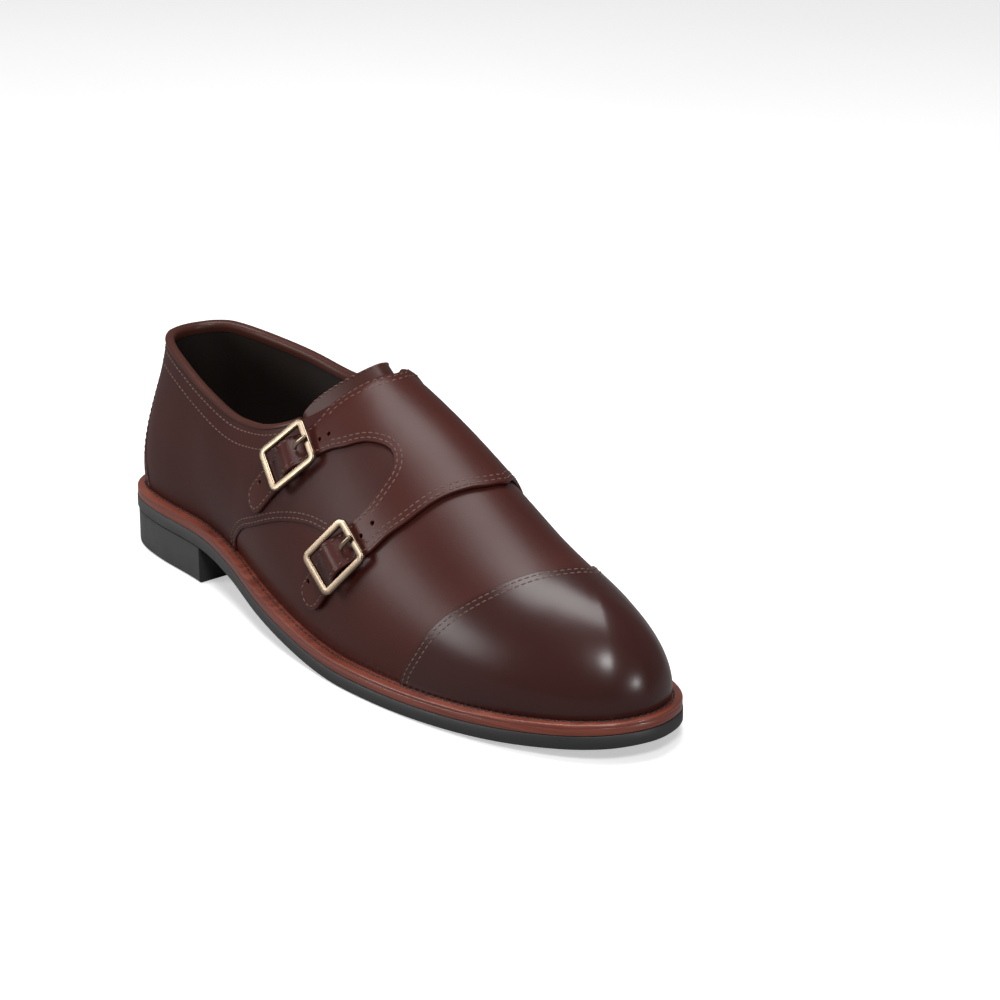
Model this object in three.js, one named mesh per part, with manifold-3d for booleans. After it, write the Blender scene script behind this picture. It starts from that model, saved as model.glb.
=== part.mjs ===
// A double monk strap shoe for the right foot: a lasted leather upper on a welted rubber sole,
// closed over the instep by a flap whose two tails are buckled on the outer side.
//
// Millimetres, +Z up, the toe towards +X and the inner side of the foot towards +Y.
// While it is built, X = 0 is the back of the heel and Z = 0 the floor; at the end the whole
// group is shifted so that its origin is the middle of its footprint.
import * as THREE from "three";
import { mergeVertices } from "three/addons/utils/BufferGeometryUtils.js";
import Module from "manifold-3d";

// ---------------------------------------------------------------- driving dimensions (mm)

const HEEL_STACK = 15.5;        // height of the heel block
const HEEL_BREAST = 67.5;       // where the block ends under the waist
const TREAD_START = 187;        // where the outsole first meets the floor
const TREAD_END = 202;          // and where it leaves it again
const SOLE_TIP = 305.5;         // overall length
const TOE_SPRING = 6.6;         // lift of the outsole's tip
const OUTSOLE = 5.4;            // thickness of the outsole
const MIDSOLE = 4.5;            // thickness of the midsole with its welt
const GAP = 0.3;                // air kept between pieces that touch

const WELT_MARGIN = 5.0;        // how far the sole stands out beyond the upper
const WALL = 2.2;               // thickness of upper leather and lining

// ---------------------------------------------------------------- the shoe's sections
// One row for each section from the back of the heel to the tip of the toe.
//   x, lateral, medial        the sole's outline, as half widths on each side of the axis
//   bulge, rise               how the wall leaves the welt: outwards and upwards
//   spread, drop              how it comes to the top: from how far outside and below
const SECTIONS = [
  { x: 0.0, lateral: 0.0, medial: 0.0, bulge: [3, 3], rise: [20, 20], spread: [3, 3], drop: [22, 22] },
  { x: 2.0, lateral: 11.0, medial: 11.0, bulge: [3, 3], rise: [20, 20], spread: [3, 3], drop: [22, 22] },
  { x: 8.0, lateral: 21.0, medial: 21.0, bulge: [3, 3], rise: [20, 20], spread: [3, 3], drop: [22, 22] },
  { x: 18.0, lateral: 27.0, medial: 27.0, bulge: [3, 3], rise: [20, 20], spread: [3, 3], drop: [22, 22] },
  { x: 36.0, lateral: 30.3, medial: 30.5, bulge: [3, 4], rise: [20, 20], spread: [3, 3], drop: [22, 22] },
  { x: 66.0, lateral: 32.0, medial: 31.5, bulge: [4, 6], rise: [20, 20], spread: [4, 4], drop: [22, 22] },
  { x: 96.0, lateral: 37.3, medial: 29.0, bulge: [5, 9], rise: [20, 22], spread: [7, 5], drop: [20, 20] },
  { x: 126.0, lateral: 44.3, medial: 28.5, bulge: [5, 11], rise: [26, 26], spread: [11, 8], drop: [16, 16] },
  { x: 156.0, lateral: 48.0, medial: 36.0, bulge: [4, 8], rise: [36, 36], spread: [23, 19], drop: [0, 0] },
  { x: 186.0, lateral: 49.4, medial: 46.0, bulge: [4, 4], rise: [34, 32], spread: [24, 17], drop: [0, 0] },
  { x: 214.0, lateral: 47.6, medial: 49.5, bulge: [3, 2], rise: [30, 26], spread: [24, 13.5], drop: [0, 0] },
  { x: 240.0, lateral: 43.4, medial: 44.4, bulge: [3, 2], rise: [26, 24], spread: [23, 11.5], drop: [0, 0] },
  { x: 262.0, lateral: 37.4, medial: 38.0, bulge: [3, 3], rise: [22, 22], spread: [22, 13.5], drop: [0, 0] },
  { x: 280.0, lateral: 29.5, medial: 32.5, bulge: [2, 2], rise: [18, 18], spread: [21, 16], drop: [0, 0] },
  { x: 293.0, lateral: 21.0, medial: 26.0, bulge: [2, 2], rise: [15, 15], spread: [20, 18], drop: [0, 0] },
  { x: 301.5, lateral: 11.0, medial: 17.0, bulge: [2, 2], rise: [14, 14], spread: [20, 20], drop: [0, 0] },
  { x: 305.5, lateral: -3.0, medial: 3.0, bulge: [2, 2], rise: [14, 14], spread: [20, 20], drop: [0, 0] },
];
// The top of each section: on the collar up to the peak of the instep, then along the ridge.
const PEAK = 8;                 // the section at which the collar closes over the instep
const TOPS = [
  { x: 18.0, lateral: 0, medial: 0, z: [91, 91] },
  { x: 18.8, lateral: 5.5, medial: 5.5, z: [91, 91] },
  { x: 22.0, lateral: 11.5, medial: 11.5, z: [91, 91.3] },
  { x: 29.0, lateral: 16.5, medial: 16.5, z: [90, 91.3] },
  { x: 44.0, lateral: 21.0, medial: 22.5, z: [87, 89] },
  { x: 68.0, lateral: 24.5, medial: 27.5, z: [80.5, 86] },
  { x: 95.0, lateral: 26.0, medial: 29.5, z: [76.3, 83] },
  { x: 124.0, lateral: 24.0, medial: 27.5, z: [83, 87] },
  { x: 153.0, lateral: -3, medial: 3, z: [103, 103] },
  { x: 178.0, lateral: -5, medial: 5, z: [92.5, 92.5] },
  { x: 203.0, lateral: -6, medial: 6, z: [80, 80] },
  { x: 225.0, lateral: -6.3, medial: 6.3, z: [68.5, 68.5] },
  { x: 243.0, lateral: -6, medial: 6, z: [60.5, 60.5] },
  { x: 256.0, lateral: -5.3, medial: 5.3, z: [56.5, 56.5] },
  { x: 264.0, lateral: -4.7, medial: 4.7, z: [54.0, 54.0] },
  { x: 268.5, lateral: -4.3, medial: 4.3, z: [52.5, 52.5] },
  { x: 270.0, lateral: -4, medial: 4, z: [52.0, 52.0] },
];
const TIP = SECTIONS.length - 1;

// ---------------------------------------------------------------- the sole's heights

function soleBottom(x) {
  if (x <= HEEL_BREAST) return HEEL_STACK;
  if (x < TREAD_START) {
    const t = (x - HEEL_BREAST) / (TREAD_START - HEEL_BREAST);
    return HEEL_STACK * (1 - t * t * (3 - 2 * t));
  }
  if (x <= TREAD_END) return 0;
  const t = (x - TREAD_END) / (SOLE_TIP - TREAD_END);
  return TOE_SPRING * t * t;
}
const outsoleTop = (x) => soleBottom(x) + OUTSOLE;
const weltTop = (x) => soleBottom(x) + OUTSOLE + MIDSOLE;

// ---------------------------------------------------------------- curves through the rows

// Which entry of a [lateral, medial] pair holds at a place.
const MEDIAL = 1;
const sideOf = (w) => (w < 0 ? 0 : MEDIAL);

// Place w runs round the shoe: 0 at the heel's back, +TIP at the toe by the medial side and
// -TIP at the toe by the lateral side, with a whole number at each section.
function loopThrough(rows, pointOf) {
  const points = [];
  for (let k = -TIP; k < TIP; k++) points.push(pointOf(rows[Math.abs(k)], k));
  return new THREE.CatmullRomCurve3(points, true, "catmullrom", 0.5);
}
const wrap = (w) => ((w + TIP) / (2 * TIP) % 1 + 1) % 1;

const outlineCurve = loopThrough(SECTIONS, (row, k) =>
  new THREE.Vector3(row.x, k < 0 ? -row.lateral : row.medial, 0));
const outlineAt = (w) => outlineCurve.getPoint(wrap(w));

function outlineNormal(w) {
  const t = outlineAt(w + 0.01).sub(outlineAt(w - 0.01));
  return new THREE.Vector3(t.y, -t.x, 0).normalize().multiplyScalar(-1);
}

const feather = loopThrough(SECTIONS, (row, k) => {
  const s = sideOf(k);
  return new THREE.Vector3(row.bulge[s], row.rise[s], 0);
});
const crown = loopThrough(SECTIONS, (row, k) => {
  const s = sideOf(k);
  return new THREE.Vector3(row.spread[s], row.drop[s], 0);
});

const collarPoints = [];
for (let k = -PEAK; k < PEAK; k++) {
  const row = TOPS[Math.abs(k)];
  collarPoints.push(new THREE.Vector3(row.x, k < 0 ? -row.lateral : row.medial, row.z[sideOf(k)]));
}
const collarCurve = new THREE.CatmullRomCurve3(collarPoints, true, "catmullrom", 0.5);
const ridgePoints = TOPS.slice(PEAK).map((row) => new THREE.Vector3(row.x, row.medial, row.z[MEDIAL]));
const ridgeCurve = new THREE.CatmullRomCurve3(ridgePoints, false, "catmullrom", 0.5);

function topAt(w) {
  const u = Math.abs(w);
  if (u <= PEAK) return collarCurve.getPoint(((w + PEAK) / (2 * PEAK) % 1 + 1) % 1);
  return ridgeCurve.getPoint(Math.min(1, (Math.min(u, 2 * TIP - u) - PEAK) / (TIP - PEAK)));
}
function ridgeSlope(u) {
  const t = Math.min(Math.max((Math.min(u, 2 * TIP - u) - PEAK) / (TIP - PEAK), 0), 0.97);
  const d = ridgeCurve.getPoint(t + 0.02).sub(ridgeCurve.getPoint(t));
  return -d.z / d.x;
}

// ---------------------------------------------------------------- the last's surface

function section(w) {
  const edge = outlineAt(w), out = outlineNormal(w);
  const foot = edge.clone().addScaledVector(out, -WELT_MARGIN);
  foot.z = weltTop(foot.x) + GAP;
  const top = topAt(w);
  const low = feather.getPoint(wrap(w)), high = crown.getPoint(wrap(w));
  const away = new THREE.Vector3(foot.x - top.x, foot.y - top.y, 0).normalize();
  const drop = Math.abs(w) > PEAK ? high.x * away.x * ridgeSlope(Math.abs(w)) : high.y;
  return {
    foot,
    lowHandle: foot.clone().addScaledVector(out, low.x).add(new THREE.Vector3(0, 0, low.y)),
    highHandle: top.clone().addScaledVector(away, high.x).add(new THREE.Vector3(0, 0, -drop)),
    top,
  };
}
function onLast(w, v) {
  const s = section(w), c = 1 - v;
  return s.foot.multiplyScalar(c * c * c).addScaledVector(s.lowHandle, 3 * c * c * v)
    .addScaledVector(s.highHandle, 3 * c * v * v).addScaledVector(s.top, v * v * v);
}
// The outward normal of the last; along the ridge it stands square to the ridge's slope.
function normalAt(w, v) {
  const STEP = 0.004;
  if (v > 1 - STEP && Math.abs(w) > PEAK) {
    return new THREE.Vector3(ridgeSlope(Math.abs(w)), 0, 1).normalize();
  }
  const round = onLast(w + STEP, v).sub(onLast(w - STEP, v));
  const up = onLast(w, Math.min(v + STEP, 1)).sub(onLast(w, Math.max(v - STEP, 0)));
  return up.cross(round).normalize();
}
const above = (w, v, height) => onLast(w, v).addScaledVector(normalAt(w, v), height);

// The same surface by station u (0 heel to TIP toe) and across c: -1 at the outer side's welt,
// 0 on the collar or the ridge and +1 at the inner side's welt.
const over = (u, c, height) => above(c < 0 ? -u : u, 1 - Math.abs(c), height);

// ---------------------------------------------------------------- solids from grids of points

// Joins equal corners, drops the flat triangles and turns all faces outwards.
function weld(positions) {
  const loose = new THREE.BufferGeometry();
  loose.setAttribute("position", new THREE.Float32BufferAttribute(positions, 3));
  const merged = mergeVertices(loose, 1e-3);
  const corners = merged.index.array, kept = [];
  for (let i = 0; i < corners.length; i += 3) {
    const [a, b, c] = [corners[i], corners[i + 1], corners[i + 2]];
    if (a !== b && b !== c && c !== a) kept.push(a, b, c);
  }
  merged.setIndex(kept);
  if (signedVolume(merged) < 0) {
    for (let i = 0; i < kept.length; i += 3) [kept[i], kept[i + 1]] = [kept[i + 1], kept[i]];
    merged.setIndex(kept);
  }
  return merged;
}
function signedVolume(geometry) {
  const p = geometry.attributes.position, index = geometry.index.array;
  const [a, b, c] = [new THREE.Vector3(), new THREE.Vector3(), new THREE.Vector3()];
  let sum = 0;
  for (let i = 0; i < index.length; i += 3) {
    a.fromBufferAttribute(p, index[i]);
    b.fromBufferAttribute(p, index[i + 1]);
    c.fromBufferAttribute(p, index[i + 2]);
    sum += a.dot(b.cross(c)) / 6;
  }
  return sum;
}
function addQuad(positions, a, b, c, d) {
  for (const p of [a, b, c, a, c, d]) positions.push(p.x, p.y, p.z);
}
// A slab between two grids of points, each [row][column]. Where it goes on into a neighbour it
// has no wall: wallFirst and wallLast say so for each row's first and last column, and ends for
// the first and last row.
const always = () => true;
function slab(outer, inner, { wallFirst = always, wallLast = always, ends = true } = {}) {
  const positions = [], rows = outer.length, e = outer[0].length - 1;
  for (let i = 0; i + 1 < rows; i++) {
    for (let j = 0; j < e; j++) {
      addQuad(positions, outer[i][j], outer[i + 1][j], outer[i + 1][j + 1], outer[i][j + 1]);
      addQuad(positions, inner[i][j], inner[i][j + 1], inner[i + 1][j + 1], inner[i + 1][j]);
    }
    if (wallFirst(i)) addQuad(positions, outer[i][0], inner[i][0], inner[i + 1][0], outer[i + 1][0]);
    if (wallLast(i)) addQuad(positions, outer[i][e], outer[i + 1][e], inner[i + 1][e], inner[i][e]);
  }
  for (let j = 0; ends && j < e; j++) {
    addQuad(positions, outer[0][j], outer[0][j + 1], inner[0][j + 1], inner[0][j]);
    const r = rows - 1;
    addQuad(positions, outer[r][j], inner[r][j], inner[r][j + 1], outer[r][j + 1]);
  }
  return positions;
}
const grid = (rows, columns, pointAt) => rows.map((r) => columns.map((c) => pointAt(r, c)));
const steps = (from, to, count) =>
  Array.from({ length: count + 1 }, (_, i) => from + (to - from) * i / count);
const mix = (a, b, t) => a + (b - a) * t;

// ---------------------------------------------------------------- leather and rubber colours

const finish = (color, roughness, metalness = 0) =>
  new THREE.MeshStandardMaterial({ color, roughness, metalness });
const BLACK_RUBBER = finish(0x2c2a2a, 0.55);
const RED_MIDSOLE = finish(0x74352b, 0.5);
const BROWN_LEATHER = finish(0x3f2422, 0.38);
const STRAP_LEATHER = finish(0x4a2823, 0.4);
const LINING = finish(0x17110f, 0.8);
const ANTIQUE_BRASS = finish(0x9c8468, 0.32, 1);

const group = new THREE.Group();
function addPart(name, geometry, material) {
  geometry.computeVertexNormals();
  const mesh = new THREE.Mesh(geometry, material);
  mesh.name = name;
  group.add(mesh);
  return mesh;
}

// ---------------------------------------------------------------- sole: flat pieces

// The station at which the outline reaches a given x.
function stationAt(x) {
  let low = 0, high = TIP;
  while (high - low > 1e-6) {
    const middle = (low + high) / 2;
    if (outlineAt(middle).x < x) low = middle; else high = middle;
  }
  return low;
}
// Stations along the sole, closer together round the heel and the toe.
const SOLE_STATIONS = [...steps(0, 4, 14), ...steps(4, 12, 18).slice(1), ...steps(12, TIP, 14).slice(1),
  ...[HEEL_BREAST, TREAD_START, TREAD_END].map(stationAt)].sort((a, b) => a - b);
const ACROSS = steps(0, 1, 4);

function plate(inset, bottomAt, topAt_, stations = SOLE_STATIONS) {
  const pointAt = (heightAt) => (u, t) => {
    const rim = (w) => outlineAt(w).addScaledVector(outlineNormal(w), -inset);
    const outer = rim(-u), inner = rim(u);
    const p = outer.lerp(inner, t);
    p.z = heightAt(p.x);
    return p;
  };
  return weld(slab(grid(stations, ACROSS, pointAt(topAt_)), grid(stations, ACROSS, pointAt(bottomAt))));
}
const HEEL_INSET = 0.6;
const heelStations = steps(0, stationAt(HEEL_BREAST), 18);
addPart("heel", plate(HEEL_INSET, () => 0, () => HEEL_STACK - GAP, heelStations), BLACK_RUBBER);
addPart("outsole", plate(0, soleBottom, outsoleTop), BLACK_RUBBER);
addPart("midsole", plate(0.3, (x) => outsoleTop(x) + GAP, weltTop), RED_MIDSOLE);

const INSOLE = 3;               // thickness of the insole with its sock lining
const INSOLE_INSET = WELT_MARGIN + WALL + 0.7;
addPart("insole", plate(INSOLE_INSET, (x) => weltTop(x) + GAP, (x) => weltTop(x) + GAP + INSOLE), LINING);

// ---------------------------------------------------------------- upper: one hollow shell

// Under the flap the upper is slit open; EDGE gives how far up the section its leather reaches.
const THROAT = 9.3;             // the station at which the slit ends
const EDGE = [
  { station: 7.0, reach: 1.0 },
  { station: 7.35, reach: 0.93 },
  { station: 7.7, reach: 0.8 },
  { station: 8.0, reach: 0.77 },
  { station: 8.6, reach: 0.87 },
  { station: THROAT, reach: 1.0 },
];
function reachAt(u) {
  if (u <= EDGE[0].station || u >= THROAT) return 1;
  const k = EDGE.findIndex((row) => row.station > u);
  const [a, b] = [EDGE[k - 1], EDGE[k]];
  return mix(a.reach, b.reach, (u - a.station) / (b.station - a.station));
}
const HALF_ROUND = [...steps(0, 4, 12), ...steps(4, 7, 5).slice(1), ...steps(7, THROAT, 10).slice(1),
  ...steps(THROAT, 13, 7).slice(1), ...steps(13, TIP, 10).slice(1)];
const ROUND = [...HALF_ROUND.slice(1).reverse().map((u) => -u), ...HALF_ROUND];
const UP = steps(0, 1, 12);
{
  const skin = (depth) =>
    grid(ROUND, UP, (w, t) => above(w, t * reachAt(Math.abs(w)), -depth));
  // past the throat the two sides meet along the ridge, and at the toe's tip they meet too
  const hasEdge = (i) => Math.max(Math.abs(ROUND[i]), Math.abs(ROUND[i + 1])) <= THROAT;
  addPart("upper", weld(slab(skin(0), skin(WALL), { wallLast: hasEdge, ends: false })), BROWN_LEATHER);
}

// ---------------------------------------------------------------- tongue

const TONGUE = 2;               // its thickness
const TONGUE_DEPTH = WALL + 1.1;                        // from the last's surface to its outside
const TONGUE_RISE = new THREE.Vector3(-0.8, 0, 0.6);    // which way its free end stands up
const TONGUE_FREE = 9;          // how far it stands out at the middle
const TONGUE_REACH = 0.65;      // how many stations it follows the collar to each side
// Under the flap, down the tongue's length: the station at the middle, how much nearer the heel
// its sides are, and its half width as a part of the section.
const TONGUE_ROWS = [
  { station: 10.4, back: 0, half: 0.17 },
  { station: 10.0, back: 0, half: 0.18 },
  { station: 9.6, back: 0, half: 0.19 },
  { station: 9.2, back: 0.08, half: 0.19 },
  { station: 8.8, back: 0.2, half: 0.18 },
  { station: 8.5, back: 0.34, half: 0.145 },
  { station: 8.22, back: 0.48, half: 0.085 },
];
{
  const ridgeNormal = normalAt(PEAK + 0.01, 1);
  // along the collar, q = -1 on the outer side, 0 on the peak and +1 on the inner side
  const onCollar = (free, q, depth) => {
    const w = Math.sign(q || 1) * (PEAK - TONGUE_REACH * Math.abs(q));
    const sideNormal = normalAt(Math.sign(q || 1) * (PEAK - TONGUE_REACH), 0.95);
    const normal = ridgeNormal.clone().lerp(sideNormal, q * q).normalize();
    return topAt(w).addScaledVector(normal, -depth)
      .addScaledVector(TONGUE_RISE, free * TONGUE_FREE * Math.sqrt(1 - 0.9 * q * q));
  };
  const across = steps(-1, 1, 12), freeEnd = [0, 0.35, 0.7, 1];
  const skin = (depth) => [
    ...grid(TONGUE_ROWS, across, (row, q) => over(row.station - row.back * q * q, q * row.half, -depth)),
    ...grid(freeEnd, across, (free, q) => onCollar(free, q, depth)),
  ];
  addPart("tongue", weld(slab(skin(TONGUE_DEPTH), skin(TONGUE_DEPTH + TONGUE))), BROWN_LEATHER);
}

// ---------------------------------------------------------------- buckles

const FRAME = { length: 24.5, width: 20, bar: 2.5, thick: 1.9, corner: 3.4 };
const FRAME_LIFT = 3.6;         // from the leather's tangent plane to the frame's underside
const BAR = { radius: 0.8, back: 1.0, lift: 3.1 };      // the hidden middle bar
// Each buckle: its centre on the leather, which way the strap runs through it (up to the
// instep) and which way it faces.
const BUCKLES = [
  { name: "rear", at: [135.2, -30.6, 73.2], along: [0.62, 0.40, 0.67],
    facing: [0.08, -0.885, 0.46], tip: -34 },
  { name: "front", at: [175.4, -39.2, 46.9], along: [0.55, 0.38, 0.74],
    facing: [0.17, -0.925, 0.34], tip: -29.5 },
];
function buckleAxes(buckle) {
  const normal = new THREE.Vector3(...buckle.facing).normalize();
  const along = new THREE.Vector3(...buckle.along);
  along.addScaledVector(normal, -along.dot(normal)).normalize();
  const across = normal.clone().cross(along);
  return { at: new THREE.Vector3(...buckle.at), along, across, normal };
}
function inFrame(buckle, x, y, z) {
  const axes = buckleAxes(buckle);
  return axes.at.addScaledVector(axes.along, x).addScaledVector(axes.across, y)
    .addScaledVector(axes.normal, z);
}
function standOnBuckle(geometry, buckle) {
  const axes = buckleAxes(buckle);
  const turn = new THREE.Matrix4().makeBasis(axes.along, axes.across, axes.normal);
  return geometry.applyMatrix4(turn.setPosition(axes.at));
}
function roundedRectangle(shape, length, width, corner) {
  const [x, y] = [length / 2, width / 2];
  shape.moveTo(-x + corner, -y);
  shape.lineTo(x - corner, -y);
  shape.absarc(x - corner, -y + corner, corner, -Math.PI / 2, 0, false);
  shape.lineTo(x, y - corner);
  shape.absarc(x - corner, y - corner, corner, 0, Math.PI / 2, false);
  shape.lineTo(-x + corner, y);
  shape.absarc(-x + corner, y - corner, corner, Math.PI / 2, Math.PI, false);
  shape.lineTo(-x, -y + corner);
  shape.absarc(-x + corner, -y + corner, corner, Math.PI, Math.PI * 1.5, false);
  return shape;
}
function frameGeometry() {
  const ring = roundedRectangle(new THREE.Shape(), FRAME.length, FRAME.width, FRAME.corner);
  const inner = FRAME.corner - FRAME.bar + 0.6;
  ring.holes.push(roundedRectangle(new THREE.Path(), FRAME.length - 2 * FRAME.bar,
    FRAME.width - 2 * FRAME.bar, inner));
  return new THREE.ExtrudeGeometry(ring, { depth: FRAME.thick, bevelEnabled: false, curveSegments: 4 });
}
function rod(points, radius, sides = 8) {
  const path = new THREE.CatmullRomCurve3(points);
  const round = new THREE.Shape();
  for (let i = 0; i < sides; i++) {
    const a = 2 * Math.PI * i / sides;
    round[i ? "lineTo" : "moveTo"](radius * Math.cos(a), radius * Math.sin(a));
  }
  return new THREE.ExtrudeGeometry(round, { steps: 6, bevelEnabled: false, extrudePath: path });
}
function bare(geometry) {
  const copy = geometry.index ? geometry.toNonIndexed() : geometry;
  return weld(Array.from(copy.attributes.position.array));
}
const wasm = await Module();
wasm.setup();
function solid(geometry) {
  const mesh = new wasm.Mesh({
    numProp: 3,
    vertProperties: Float32Array.from(geometry.attributes.position.array),
    triVerts: Uint32Array.from(geometry.index.array),
  });
  return new wasm.Manifold(mesh);
}
function geometryOf(manifold) {
  const mesh = manifold.getMesh(), geometry = new THREE.BufferGeometry();
  geometry.setAttribute("position", new THREE.Float32BufferAttribute(mesh.vertProperties, 3));
  geometry.setIndex(Array.from(mesh.triVerts));
  return geometry;
}
const PRONG = { radius: 0.8, from: 4.6, over: 9.5, tip: 12.0, low: 5.5, high: 6.5 };
for (const buckle of BUCKLES) {
  const half = FRAME.width / 2 - FRAME.bar / 2;
  const bar = rod([-1, 0, 1].map((y) => new THREE.Vector3(-BAR.back, y * half, BAR.lift)), BAR.radius);
  const ring = frameGeometry().translate(0, 0, FRAME_LIFT);
  const frame = geometryOf(solid(bare(ring)).add(solid(bare(bar))));
  addPart(`${buckle.name}_buckle_frame`, standOnBuckle(frame, buckle), ANTIQUE_BRASS);
  const middle = (PRONG.from + PRONG.over) / 2;
  const prong = rod([[PRONG.from, PRONG.low], [middle, PRONG.high], [PRONG.tip, PRONG.high]]
    .map(([x, z]) => new THREE.Vector3(x, 0, z)), PRONG.radius);
  addPart(`${buckle.name}_buckle_prong`, standOnBuckle(bare(prong), buckle), ANTIQUE_BRASS);
}

// ---------------------------------------------------------------- monk strap: flap and two tails

const STRAP = 1.8;              // thickness of the strap leather
const STRAP_GAP = 0.9;          // air under it
const TAIL = { half: 6.7, start: 17, round: 7 };        // half width, first row, rounded end
const ARCH = { height: 4.4, reach: 8.0 };               // how it humps over the hidden bar
// The flap, one row for each crease-free stretch from the inner side over the instep: station
// and across-place of its rear edge, of the line that becomes the notch, and of its front edge.
const FLAP = [
  { rear: [7.20, 0.03], notch: [8.30, 0.33], front: [9.24, 0.64] },
  { rear: [7.60, 0.03], notch: [8.75, 0.22], front: [9.72, 0.40] },
  { rear: [7.90, 0.03], notch: [9.05, 0.10], front: [10.15, 0.18] },
  { rear: [8.06, 0.00], notch: [9.20, -0.02], front: [10.36, 0.00] },
  { rear: [7.90, -0.03], notch: [9.20, -0.13], front: [10.22, -0.12] },
  { rear: [7.66, -0.03], notch: [9.12, -0.24], front: [10.02, -0.22] },
  { rear: [7.48, -0.03], notch: [9.00, -0.33], front: [9.82, -0.32] },
];
// Past the notch's end each tail has two edges of its own.
const REAR_TAIL = [
  { upper: [7.45, -0.03], lower: [8.90, -0.298] },
  { upper: [7.40, -0.035], lower: [8.62, -0.29] },
  { upper: [7.34, -0.045], lower: [8.28, -0.34] },
];
const FRONT_TAIL = [
  { upper: [8.995, -0.375], lower: [9.74, -0.37] },
  { upper: [8.97, -0.42], lower: [9.66, -0.42] },
  { upper: [8.88, -0.50], lower: [9.46, -0.50] },
];
// The station and across-place of the last's point nearest to p, from a guess.
function settle(p, guess) {
  const STEP = 0.01;
  let [u, c] = guess;
  for (let i = 0; i < 8; i++) {
    const here = over(u, c, 0), miss = p.clone().sub(here);
    const du = over(u + STEP, c, 0).sub(here).divideScalar(STEP);
    const dc = over(u, c + STEP, 0).sub(here).divideScalar(STEP);
    const [a, b, d] = [du.dot(du), du.dot(dc), dc.dot(dc)];
    const [e, f] = [du.dot(miss), dc.dot(miss)];
    const det = a * d - b * b;
    u += (e * d - f * b) / det;
    c = Math.max(Math.min(c + (a * f - b * e) / det, -0.005), -0.99);
  }
  return [u, c];
}
// One row of a strap: places from one edge to the other, and how high the row humps.
function rowBetween(a, b, count) {
  return steps(0, 1, count).map((t) => ({ place: [mix(a[0], b[0], t), mix(a[1], b[1], t)], hump: 0 }));
}
function tailRows(buckle, count) {
  const rows = [];
  let guess = [buckle.name === "rear" ? 7.8 : 9.2, -0.4];
  const end = buckle.tip, shoulder = end + TAIL.round;
  const straight = steps(TAIL.start, shoulder, 15), rounded = [0.3, 0.6, 0.85, 1];
  for (const x of [...straight, ...rounded.map((t) => mix(shoulder, end, t))]) {
    const past = Math.max(0, (shoulder - x) / TAIL.round);
    const half = TAIL.half * Math.max(0.3, Math.sqrt(1 - 0.97 * past * past));
    const t = Math.abs(x + BAR.back) / ARCH.reach;
    const hump = t < 1 ? ARCH.height * (0.5 + 0.5 * Math.cos(Math.PI * t)) : 0;
    rows.push(steps(half, -half, count).map((y) => {
      const place = settle(inFrame(buckle, x, y, 0), guess);
      guess = place;
      return { place, hump };
    }));
    guess = rows.at(-1)[0].place;
  }
  return rows;
}
{
  const COLUMNS = 4, BETWEEN = 3, rearBand = [], frontBand = [];
  FLAP.forEach((row, i) => {
    const next = FLAP[i + 1], parts = next ? steps(0, 1, BETWEEN).slice(0, -1) : [0];
    for (const t of parts) {
      const at = (key) => next ? [0, 1].map((k) => mix(row[key][k], next[key][k], t)) : row[key];
      rearBand.push(rowBetween(at("rear"), at("notch"), COLUMNS));
      frontBand.push(rowBetween(at("notch"), at("front"), COLUMNS));
    }
  });
  const bodyRows = rearBand.length - 1;
  for (const row of REAR_TAIL) rearBand.push(rowBetween(row.upper, row.lower, COLUMNS));
  for (const row of FRONT_TAIL) frontBand.push(rowBetween(row.upper, row.lower, COLUMNS));
  rearBand.push(...tailRows(BUCKLES[0], COLUMNS));
  frontBand.push(...tailRows(BUCKLES[1], COLUMNS));
  const lay = (band, extra) => band.map((row) => row.map(({ place, hump }) =>
    over(place[0], place[1], STRAP_GAP + hump + extra)));
  const apart = (i) => i >= bodyRows;
  const positions = [
    ...slab(lay(rearBand, STRAP), lay(rearBand, 0), { wallLast: apart }),
    ...slab(lay(frontBand, STRAP), lay(frontBand, 0), { wallFirst: apart }),
  ];
  addPart("monk_strap", weld(positions), STRAP_LEATHER);
}

// ---------------------------------------------------------------- the origin

// The origin goes to the middle of the footprint, on the floor.
const extent = new THREE.Box3().setFromObject(group);
group.position.set(-(extent.min.x + extent.max.x) / 2, -(extent.min.y + extent.max.y) / 2, -extent.min.z);
group.updateMatrixWorld(true);

export default group;
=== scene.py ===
# %% [markdown]
# # A double monk strap shoe
# This lesson dresses the bare model of a right-foot monk strap shoe in leather, rubber, thread
# and brass. A shoemaker pulls flat pieces of leather over a wooden last, lays the next pieces
# over them, sews them down and stitches the whole to a sole. We go the same way: first the
# last, then each piece of leather cut to its outline and pressed on to it.

# %% Load the model
import math
import bmesh
import bpy
import numpy as np
from mathutils import Matrix, Vector
from mathutils.bvhtree import BVHTree
from mathutils.geometry import delaunay_2d_cdt


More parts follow.
